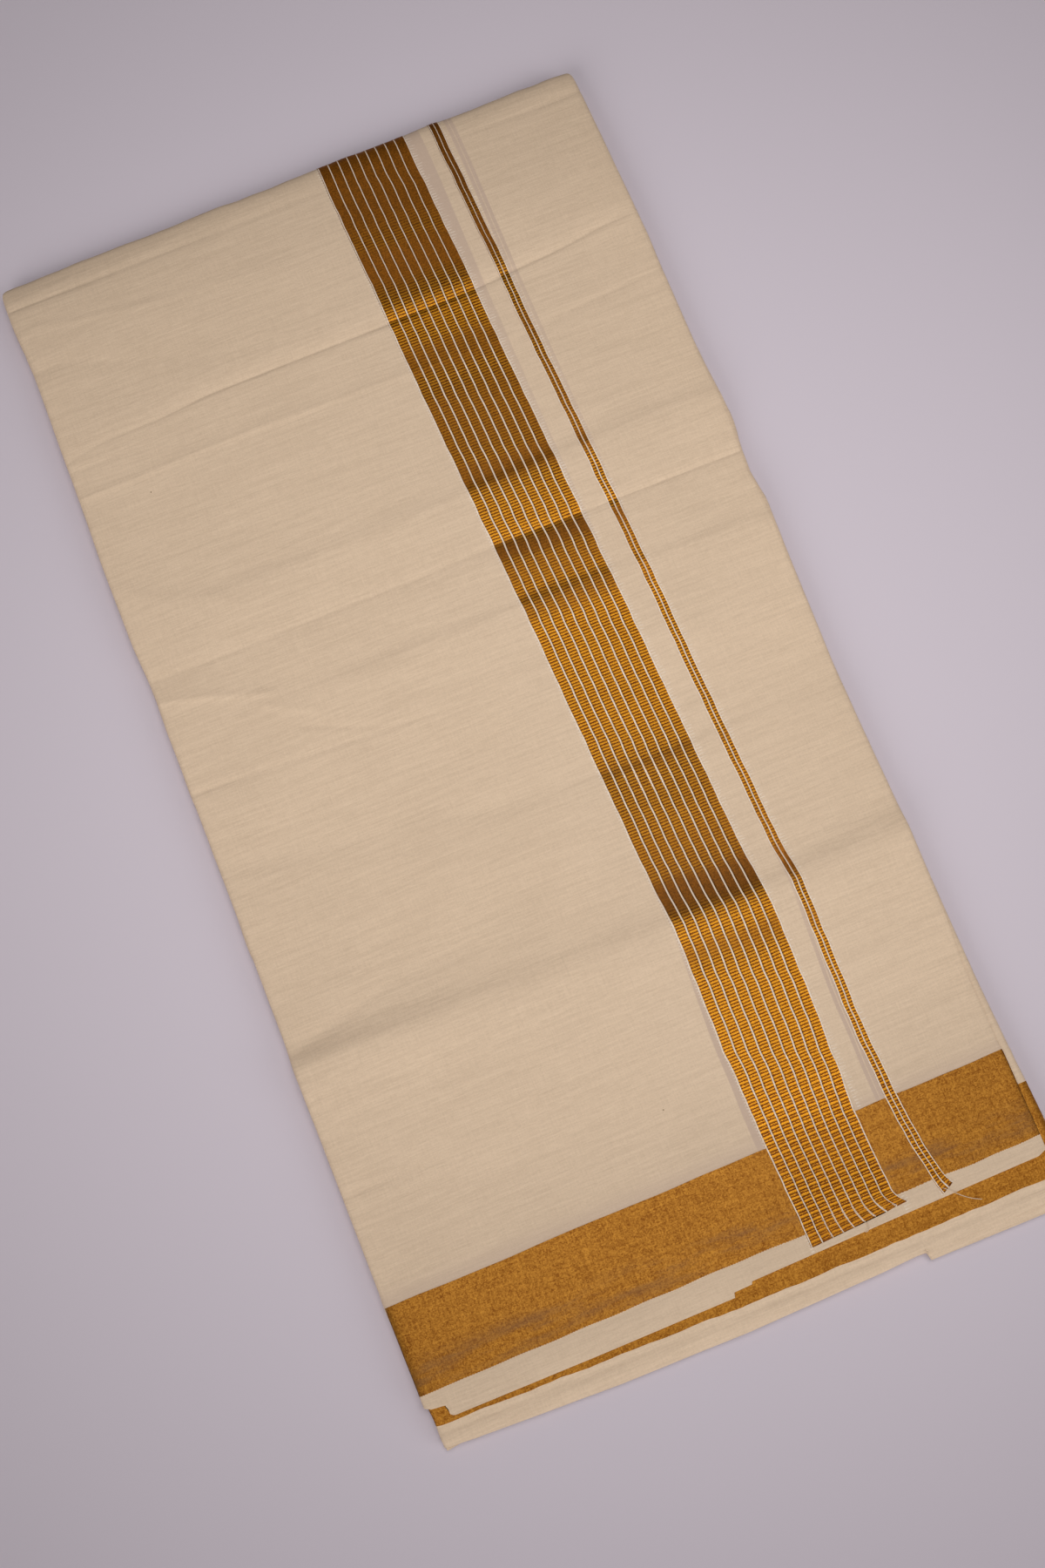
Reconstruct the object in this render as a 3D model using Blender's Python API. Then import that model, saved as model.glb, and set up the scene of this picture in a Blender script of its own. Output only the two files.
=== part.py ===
"""A dhoti folded flat: one long length of cream cotton with gold borders, four plies across, six along.

The bundle lies on its under panel. +X runs across it from fold to fold, +Y from the open end with
the cut edges to the far fold, +Z up. The origin is on the floor under the middle of the bundle.
Sizes are in millimetres, and MM turns them into Blender's metres.
"""
import math

import bpy

MM = 0.001

# The whole cloth and how it is folded.
CLOTH_LENGTH = 3720.0
CLOTH_WIDTH = 1270.0
SEGMENTS_ALONG = 6
PLIES_ACROSS = 4
BUNDLE_LENGTH = CLOTH_LENGTH / SEGMENTS_ALONG + 2.0
BUNDLE_HALF_WIDTH = CLOTH_WIDTH / PLIES_ACROSS / 2 + 1.25

# The bundle's section: walls stand for one or more plies of thin cotton.
WALL = 1.0
SEAM_GAP = 0.3
PANEL_TOP = 12.0
RIBBON_WALL = 0.6
RIBBON_LEVELS = (SEAM_GAP + RIBBON_WALL, SEAM_GAP)
SECOND_LEVEL = -(WALL + SEAM_GAP)
INNER_LEVEL = 2 * SECOND_LEVEL
FOLD_DEPTH = 13.0
FOLD_HEIGHT = PANEL_TOP / 2
FAR_EDGE_LEFT = BUNDLE_LENGTH / 2 - 5.0
FAR_EDGE_RIGHT = BUNDLE_LENGTH / 2
TOP_HALF_WIDTH = BUNDLE_HALF_WIDTH - 1.2
INNER_TOP_HALF_WIDTH = BUNDLE_HALF_WIDTH - 1.4
SECOND_RIGHT = BUNDLE_HALF_WIDTH

# How the sheets roll down at their side folds: distance in from the side, drop.
SIDE_ROLL = ((0.0, 2.0), (0.9, 0.9), (2.8, 0.3), (9.0, 0.0))

# Folds and creases across the bundle, from the open end to the far fold.
# name, y at the left side, y at the right side, lift of the surface there
CROSS_ROWS = (
    ("band_foot", -277.5, -276.0, 0.0),
    ("band_head", -235.5, -234.0, 0.0),
    ("small_fold_near", -192.0, -180.0, 0.0),
    ("small_fold", -181.0, -161.0, 0.35),
    ("wide_fold_near", -150.0, -142.0, 0.0),
    ("wide_fold_crest", -124.0, -129.0, 0.9),
    ("wide_fold_trough", -106.0, -112.0, -0.5),
    ("wide_fold_far", -84.0, -92.0, 0.1),
    ("soft_fold", -14.0, -40.0, 0.5),
    ("soft_fold_far", 22.0, 6.0, 0.0),
    ("sharp_crease_near", 70.0, 70.0, 0.0),
    ("sharp_crease", 84.5, 85.5, -0.8),
    ("sharp_crease_far", 100.0, 104.0, 0.5),
    ("hollow", 120.0, 128.0, -0.2),
    ("ridge_near", 172.0, 178.0, 0.1),
    ("ridge", 184.0, 189.0, 0.5),
    ("main_crease", 205.0, 218.0, -0.4),
    ("main_crease_far", 216.0, 230.0, 0.3),
    ("far_slope", 262.0, 266.0, 0.0),
)
FOLD_ANGLES = (90, 64, 38, 12, -14, -40, -66, -90)
RIBBON_FOLD_ANGLES = FOLD_ANGLES[:-2]

# The woven edge of the top panel where the cloth was cut from the loom: x, y
TOP_CUT_EDGE = (
    (-TOP_HALF_WIDTH, -283.5),
    (-150.2, -285.5),
    (-149.6, -291.4),
    (-7.4, -292.3),
    (-6.8, -290.4),
    (2.2, -290.2),
    (2.8, -288.5),
    (76.0, -286.6),
    (TOP_HALF_WIDTH, -283.3),
)
# The second panel's own cut edge, further out: x, y
SECOND_CUT_EDGE = (
    (-TOP_HALF_WIDTH, -304.0),
    (-135.0, -305.4),
    (-71.0, -308.0),
    (-6.0, -308.6),
    (61.0, -307.0),
    (83.4, -305.8),
    (85.0, -310.4),
    (SECOND_RIGHT, -BUNDLE_LENGTH / 2),
)
TOP_CUT_LIFT = -0.4
# Rows of the second panel in front of the first cross row: y left, y right, lift
SECOND_BAND_FOOT = (-293.7, -298.6, -0.8)
SECOND_COVERED_ROW = (-284.0, -282.0, -0.1)
# The second panel's rim rows: distance behind its cut edge, lift
SECOND_RIM = ((0.0, -3.2), (4.0, -1.8))
SECOND_FAR_ROW = (292.0, 296.0, 0.0)
# The first and last rows of the inner layers' top: y left, y right, lift
INNER_RIM = (-301.5, -306.5, -2.7)
INNER_FAR_ROW = (FAR_EDGE_LEFT - FOLD_DEPTH + 1.6, FAR_EDGE_RIGHT - FOLD_DEPTH + 1.6, -0.2)

# The wide gold border: y, x of its left edge, width
BORDER_ROUTE = (
    (-284.0, 34.2, 49.0),
    (-262.0, 33.6, 48.6),
    (-228.0, 33.0, 47.6),
    (-175.0, 32.4, 48.2),
    (-120.0, 32.0, 47.6),
    (0.0, 27.4, 46.5),
    (170.0, 20.2, 46.0),
    (300.0, 16.0, 44.6),
)
BORDER_STRIPES = 9
BORDER_CORD = 0.9
# The narrow double line beside it: y, x of its left edge, width
LINE_ROUTE = (
    (-283.5, 100.8, 4.8),
    (-262.0, 96.4, 4.6),
    (-228.0, 94.4, 4.6),
    (-120.0, 94.0, 4.6),
    (0.0, 88.4, 4.4),
    (110.0, 83.6, 4.4),
    (249.0, 78.2, 4.2),
    (300.0, 73.8, 4.2),
)
LINE_STRIPES = 2
LINE_CORD = 0.8
STRIPE_TIP_CURL = 2.4
STRIPE_TIP_STAGGER = 0.35
BAND_CLEARANCE = 0.6

# Folded plies showing at the sides of the inner layers: height share, inset from the widest ply
INNER_LIPS = (
    (0.00, 2.2),
    (0.10, 0.4),
    (0.22, 1.5),
    (0.34, 0.0),
    (0.46, 1.4),
    (0.58, 0.3),
    (0.70, 1.6),
    (0.82, 0.5),
)
UNDER_NEAR_Y = (-300.0, -305.0)
UNDER_HALF_WIDTH = BUNDLE_HALF_WIDTH - 2.0
UNDER_CORNER = 3.0

COTTON = (0.560, 0.432, 0.304)
ZARI = (0.366, 0.130, 0.014)
BAND_GOLD = (0.305, 0.119, 0.024)


def clear_scene():
    for old in list(bpy.data.objects):
        bpy.data.objects.remove(old)


def material(name, colour, roughness, metallic):
    made = bpy.data.materials.new(name)
    made.use_nodes = True
    shader = made.node_tree.nodes["Principled BSDF"]
    shader.inputs["Base Color"].default_value = (*colour, 1.0)
    shader.inputs["Roughness"].default_value = roughness
    shader.inputs["Metallic"].default_value = metallic
    return made


def along(table, value, column):
    """A column's value at a place between the rows of a table sorted by its first column."""
    if value <= table[0][0]:
        return table[0][column]
    for before, after in zip(table, table[1:]):
        if value <= after[0]:
            share = (value - before[0]) / (after[0] - before[0])
            return before[column] + share * (after[column] - before[column])
    return table[-1][column]


def across(left, right, x):
    """The value at x on a straight line from the bundle's left side to its right side."""
    share = (x + BUNDLE_HALF_WIDTH) / (2 * BUNDLE_HALF_WIDTH)
    return left + share * (right - left)


def side_drop(x):
    """How far the stack has rolled down at x, measured in from the top panel's side folds."""
    return along(SIDE_ROLL, TOP_HALF_WIDTH - abs(x), 1)


def flat_point(x, y, lift, level):
    """A point of the stack's top, level millimetres above the top panel's outer face."""
    return (x, y, PANEL_TOP + lift + level - side_drop(x))


def fold_point(x, angle, level):
    """A point on the far fold, level millimetres outside the top panel's outer face."""
    turn = math.radians(angle)
    centre = across(FAR_EDGE_LEFT, FAR_EDGE_RIGHT, x) - FOLD_DEPTH
    reach = level - side_drop(x) * (1 + math.sin(turn)) / 2
    y = centre + (FOLD_DEPTH + reach) * math.cos(turn)
    z = FOLD_HEIGHT + (FOLD_HEIGHT + reach) * math.sin(turn)
    return (x, y, z)


def straight_row(columns, row, level):
    """A row of points across the bundle. row holds its y at the left, its y at the right and its lift."""
    y_left, y_right, lift = row
    return [flat_point(x, across(y_left, y_right, x), lift, level) for x in columns]


def cut_row(columns, cut_edge, inset, lift, level):
    """A row of points that follows a cut edge, inset millimetres behind it."""
    return [flat_point(x, along(cut_edge, x, 1) + inset, lift, level) for x in columns]


def cross_rows(columns, level):
    return [straight_row(columns, row[1:], level) for row in CROSS_ROWS]


def columns_of(left, right, *tables):
    """The x places of a panel's sections: its sides, its side rolls and the corners of its cut edges."""
    places = {left, right}
    for inset, _ in SIDE_ROLL:
        roll = round(TOP_HALF_WIDTH - inset, 3)
        places.update(x for x in (-roll, roll) if left < x < right)
    for table in tables:
        places.update(row[0] for row in table if left < row[0] < right)
    return sorted(places)


def closed_slab(name, outer, inner, finish):
    """One closed solid between two grids of points that have the same rows and columns."""
    rows = len(outer)
    columns = len(outer[0])
    points = [point for row in outer for point in row] + [point for row in inner for point in row]
    back = rows * columns
    faces = []
    for row in range(rows - 1):
        for column in range(columns - 1):
            a = row * columns + column
            b = a + 1
            c = b + columns
            d = a + columns
            faces.append((a, b, c, d))
            faces.append((back + d, back + c, back + b, back + a))
    rim = perimeter(rows, columns)
    for a, b in zip(rim, rim[1:] + rim[:1]):
        faces.append((b, a, back + a, back + b))
    solid(name, points, faces, finish)


def perimeter(rows, columns):
    """The grid's outer points in order, counter-clockwise seen from its outer side."""
    near = [column for column in range(columns)]
    right = [row * columns + columns - 1 for row in range(1, rows)]
    far = [(rows - 1) * columns + column for column in range(columns - 2, -1, -1)]
    left = [row * columns for row in range(rows - 2, 0, -1)]
    return near + right + far + left


def solid(name, points, faces, finish):
    mesh = bpy.data.meshes.new(name)
    mesh.from_pydata([tuple(value * MM for value in point) for point in points], [], faces)
    mesh.materials.append(finish)
    mesh.update()
    bpy.context.scene.collection.objects.link(bpy.data.objects.new(name, mesh))


def top_panel(finish):
    """The ply that shows, from its cut edge over the creases and down round the far fold."""
    columns = columns_of(-TOP_HALF_WIDTH, TOP_HALF_WIDTH, TOP_CUT_EDGE)
    faces = []
    for level in (0.0, -WALL):
        grid = [cut_row(columns, TOP_CUT_EDGE, 0.0, TOP_CUT_LIFT, level)]
        grid += cross_rows(columns, level)
        grid += [[fold_point(x, angle, level) for x in columns] for angle in FOLD_ANGLES]
        faces.append(grid)
    closed_slab("top_panel", faces[0], faces[1], finish)


def second_panel(finish):
    """The ply under the top panel. Its own cut end, gold band and right side show beyond it."""
    columns = columns_of(-TOP_HALF_WIDTH, SECOND_RIGHT, SECOND_CUT_EDGE)
    faces = []
    for level in (SECOND_LEVEL, SECOND_LEVEL - WALL):
        grid = [cut_row(columns, SECOND_CUT_EDGE, inset, lift, level) for inset, lift in SECOND_RIM]
        grid += [straight_row(columns, row, level) for row in (SECOND_BAND_FOOT, SECOND_COVERED_ROW)]
        grid += cross_rows(columns, level)
        grid.append(straight_row(columns, SECOND_FAR_ROW, level))
        faces.append(grid)
    closed_slab("second_panel", faces[0], faces[1], finish)


def inner_layers(finish):
    """All the hidden plies as one solid, with the edges of the folded plies as lips round it."""
    columns = columns_of(-INNER_TOP_HALF_WIDTH, INNER_TOP_HALF_WIDTH)
    top = [straight_row(columns, row, INNER_LEVEL) for row in (INNER_RIM, SECOND_BAND_FOOT, SECOND_COVERED_ROW)]
    top += cross_rows(columns, INNER_LEVEL)
    top.append(straight_row(columns, INNER_FAR_ROW, INNER_LEVEL))
    points = [point for row in top for point in row]
    rim = perimeter(len(top), len(columns))
    faces = []
    for row in range(len(top) - 1):
        for column in range(len(columns) - 1):
            a = row * len(columns) + column
            faces.append((a, a + 1, a + 1 + len(columns), a + len(columns)))
    floor = WALL + SEAM_GAP
    widest = BUNDLE_HALF_WIDTH - INNER_TOP_HALF_WIDTH
    ring_above = rim
    for height_share, inset in reversed(INNER_LIPS):
        outward = widest - inset
        ring = []
        for index in rim:
            x, y, z = points[index]
            side, end = outward_sides(index, len(top), len(columns))
            ring.append(len(points))
            points.append((x + side * outward, y + end * outward, floor + height_share * (z - floor)))
        for a, b, c, d in zip(ring_above, ring_above[1:] + ring_above[:1], ring[1:] + ring[:1], ring):
            faces.append((b, a, d, c))
        ring_above = ring
    faces.append(tuple(reversed(ring_above)))
    solid("inner_layers", points, faces, finish)


def outward_sides(index, rows, columns):
    """Which way is out at a rim point of a grid: -1, 0 or 1 across the bundle, and along it."""
    row, column = divmod(index, columns)
    side = (column == columns - 1) - (column == 0)
    end = (row == rows - 1) - (row == 0)
    return side, end


def under_panel(finish):
    """The flat ply that the bundle rests on, from the open end to the start of the far fold."""
    outline = []
    for x, y, turn in (
        (UNDER_HALF_WIDTH, UNDER_NEAR_Y[1], -90),
        (UNDER_HALF_WIDTH, FAR_EDGE_RIGHT - FOLD_DEPTH - SEAM_GAP, 0),
        (-UNDER_HALF_WIDTH, FAR_EDGE_LEFT - FOLD_DEPTH - SEAM_GAP, 90),
        (-UNDER_HALF_WIDTH, UNDER_NEAR_Y[0], 180),
    ):
        middle_x = x - math.copysign(UNDER_CORNER, x)
        middle_y = y - math.copysign(UNDER_CORNER, y)
        for step in range(4):
            angle = math.radians(turn + 30 * step)
            outline.append((middle_x + UNDER_CORNER * math.cos(angle), middle_y + UNDER_CORNER * math.sin(angle)))
    count = len(outline)
    points = [(x, y, WALL) for x, y in outline] + [(x, y, 0.0) for x, y in outline]
    faces = [tuple(range(count)), tuple(reversed(range(count, 2 * count)))]
    for step in range(count):
        following = (step + 1) % count
        faces.append((following, step, count + step, count + following))
    solid("under_panel", points, faces, finish)


def ribbon_grid(edges, tip_row, level):
    """One face of a woven stripe on the top panel. edges gives its left and right x at any y."""
    tip_y, tip_curl = tip_row
    grid = [[flat_point(x + tip_curl, tip_y, TOP_CUT_LIFT / 2, level) for x in edges(tip_y)]]
    for _, y_left, y_right, lift in CROSS_ROWS:
        middle_x = sum(edges((y_left + y_right) / 2)) / 2
        stripe_edges = edges(across(y_left, y_right, middle_x))
        grid.append(straight_row(stripe_edges, (y_left, y_right, lift), level))
    fold_edges = edges(BORDER_ROUTE[-1][0])
    grid += [[fold_point(x, angle, level) for x in fold_edges] for angle in RIBBON_FOLD_ANGLES]
    return grid


def woven_stripes(prefix, route, count, cord, finish):
    """The gold stripes of a border, side by side with a white cord's width between them."""
    for stripe in range(count):
        def edges(y):
            left = along(route, y, 1)
            pitch = (along(route, y, 2) + cord) / count
            return (left + stripe * pitch, left + (stripe + 1) * pitch - cord)

        tip_row = (route[0][0] + stripe * STRIPE_TIP_STAGGER, STRIPE_TIP_CURL * stripe / count)
        outer, inner = (ribbon_grid(edges, tip_row, level) for level in RIBBON_LEVELS)
        closed_slab(f"{prefix}_{stripe + 1}", outer, inner, finish)


def end_band(name, left, right, finish):
    """A stretch of the gold band across the top panel's end, between two edges that depend on y."""
    rows = [row[1:] for row in CROSS_ROWS if row[0] in ("band_foot", "band_head")]
    outer, inner = ([straight_row(band_columns(left(row[0]), right(row[1])), row, level) for row in rows]
                    for level in RIBBON_LEVELS)
    closed_slab(name, outer, inner, finish)


def band_columns(start, stop):
    """A band's two edges, and the places between them where the panel under it bends."""
    rolls = [TOP_HALF_WIDTH - inset for inset, _ in SIDE_ROLL]
    bends = sorted([-roll for roll in rolls] + rolls)
    return [start, *(x for x in bends if start < x < stop), stop]


def second_end_band(finish):
    """The strip of the second panel's gold band that shows beyond the top panel's cut edge."""
    widest = TOP_HALF_WIDTH - SIDE_ROLL[2][0]
    columns = [x for x in columns_of(-TOP_HALF_WIDTH, TOP_HALF_WIDTH, TOP_CUT_EDGE) if abs(x) < widest + 0.01]
    foot_left, foot_right, foot_lift = SECOND_BAND_FOOT
    covered_left, covered_right, covered_lift = SECOND_COVERED_ROW
    grids = []
    for level in RIBBON_LEVELS:
        head = []
        for x in columns:
            foot_y = across(foot_left, foot_right, x)
            head_y = along(TOP_CUT_EDGE, x, 1) - BAND_CLEARANCE
            share = (head_y - foot_y) / (across(covered_left, covered_right, x) - foot_y)
            lift = foot_lift + share * (covered_lift - foot_lift)
            head.append(flat_point(x, head_y, lift, SECOND_LEVEL + level))
        grids.append([straight_row(columns, SECOND_BAND_FOOT, SECOND_LEVEL + level), head])
    closed_slab("second_end_band", grids[0], grids[1], finish)


def stripe_side(route, width_share, clearance):
    """A function that gives the x of a border's side at any y, moved out by a clearance."""
    def place(y):
        return along(route, y, 1) + width_share * along(route, y, 2) + clearance

    return place


def panel_side(x):
    """A function that gives the same x at any y."""
    return lambda y: x


def build():
    clear_scene()
    cotton = material("cotton", COTTON, 0.85, 0.0)
    zari = material("zari", ZARI, 0.40, 0.85)
    band_gold = material("band_gold", BAND_GOLD, 0.55, 0.6)

    under_panel(cotton)
    inner_layers(cotton)
    second_panel(cotton)
    top_panel(cotton)
    woven_stripes("border_stripe", BORDER_ROUTE, BORDER_STRIPES, BORDER_CORD, zari)
    woven_stripes("line_stripe", LINE_ROUTE, LINE_STRIPES, LINE_CORD, zari)
    end_band("end_band_left", panel_side(-TOP_HALF_WIDTH),
             stripe_side(BORDER_ROUTE, 0.0, -BAND_CLEARANCE), band_gold)
    end_band("end_band_middle", stripe_side(BORDER_ROUTE, 1.0, BAND_CLEARANCE),
             stripe_side(LINE_ROUTE, 0.0, -BAND_CLEARANCE), band_gold)
    end_band("end_band_right", stripe_side(LINE_ROUTE, 1.0, BAND_CLEARANCE),
             panel_side(TOP_HALF_WIDTH), band_gold)
    second_end_band(band_gold)


build()
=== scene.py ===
# %% [markdown]
# # A dhoti, folded flat
# A dhoti is one long length of cream cotton. This one has a wide gold border and a narrow gold
# line woven along it, and a gold band across each end. It is folded four across and six along,
# so about twenty-four plies lie on each other in a bundle only 12 mm high.
#
# They say where everything is. The cells below make the cloth that shows: thin curved sheets
# with creases, in place of those plain solids.

# %% Load the frame
import math
import bpy
import mathutils
import numpy as np
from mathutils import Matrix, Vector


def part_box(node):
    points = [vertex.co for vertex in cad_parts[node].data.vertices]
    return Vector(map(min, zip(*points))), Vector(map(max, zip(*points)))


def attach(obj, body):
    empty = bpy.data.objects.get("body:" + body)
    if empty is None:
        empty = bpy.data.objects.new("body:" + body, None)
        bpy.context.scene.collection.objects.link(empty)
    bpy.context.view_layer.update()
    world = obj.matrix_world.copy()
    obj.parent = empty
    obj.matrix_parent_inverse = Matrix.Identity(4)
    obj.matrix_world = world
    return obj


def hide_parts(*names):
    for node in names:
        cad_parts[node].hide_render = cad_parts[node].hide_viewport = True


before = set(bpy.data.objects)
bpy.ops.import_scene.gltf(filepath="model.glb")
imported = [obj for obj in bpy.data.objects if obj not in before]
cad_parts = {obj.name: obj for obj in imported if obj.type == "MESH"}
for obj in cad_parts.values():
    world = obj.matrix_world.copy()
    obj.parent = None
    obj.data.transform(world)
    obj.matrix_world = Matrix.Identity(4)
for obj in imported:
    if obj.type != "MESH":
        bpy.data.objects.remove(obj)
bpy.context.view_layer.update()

MM = 0.001

# %% [markdown]
# ## Sizes taken from the frame
# Work in millimetres, because cloth is a small thing, and multiply by MM only when a mesh is
# made. Ask the frame where its solids are instead of typing those places a second time, so
# that the looks follow the solids if these change.

# %% Sizes taken from the frame
def box_mm(name):
    """The lowest and highest corner of a solid, in millimetres."""
    low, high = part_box(name)
    return np.array(low) / MM, np.array(high) / MM


top_low, top_high = box_mm("top_panel")
second_low, _ = box_mm("second_panel")
HALF_WIDTH = top_high[0]
FAR_RIGHT = top_high[1]
# The far fold isn't quite square to the sides: its left end lies this much nearer.
FAR_SLANT = 5.0
FAR_LEFT = FAR_RIGHT - FAR_SLANT
TOP_NEAR = top_low[1]
SECOND_NEAR = second_low[1]
PANEL_TOP = 12.0
FOLD_DEPTH = 13.0
FOLD_HEIGHT = PANEL_TOP / 2
PLY = 0.30
print("top panel:", -HALF_WIDTH, HALF_WIDTH, "by", TOP_NEAR, FAR_RIGHT)

# %% [markdown]
# ## Small tools for curves
# A table of a few places, read with straight lines between them, is enough to describe an edge
# or a crease. A smooth step fades one thing into another without leaving a kink.

# %% Small tools for curves
def read(table, value, column=1):
    """A column of a table, at a place between its rows."""
    rows = np.array(table, float)
    return np.interp(value, rows[:, 0], rows[:, column])


def fade(value):
    """0 below 0, 1 above 1, and a smooth step between."""
    share = np.clip(value, 0.0, 1.0)
    return share * share * (3 - 2 * share)


def across(left, right, x):
    """The value at x on a straight line from the left side to the right side."""
    return left + (right - left) * (x + HALF_WIDTH) / (2 * HALF_WIDTH)


def waves(seed, count, shortest, longest):
    """A soft random curve: a sum of sines with seeded lengths. Its size is about 1."""
    dice = np.random.default_rng(seed)
    lengths = np.exp(dice.uniform(np.log(shortest), np.log(longest), count))
    phases = dice.uniform(0, 2 * np.pi, count)
    sizes = (lengths / longest) ** 0.5

    def curve(place):
        place = np.asarray(place, float)[..., None]
        return (sizes * np.sin(2 * np.pi * place / lengths + phases)).sum(-1) / sizes.sum() * 1.8

    return curve


print("a fade is halfway at:", [place for place in (0.25, 0.5, 0.75) if fade(place) == 0.5])

# %% [markdown]
# ## Creases
# Ironed cotton keeps every fold that was ever pressed into it. Each crease here is one row of a
# table: how high it stands or how deep it sinks, how wide it is on its near and far side, and the
# route it takes across the cloth, with its strength along the way. A sharp crease falls away
# quickly from its line, like a pressed fold, and a soft one is a rounded bank.
#
# Moving the mesh itself, and not only the shading, makes the gold flash and dull where the real
# cloth does, because a metal thread shows whatever its slope points at.

# %% Creases
SHARP, SOFT = "sharp", "soft"
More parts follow.
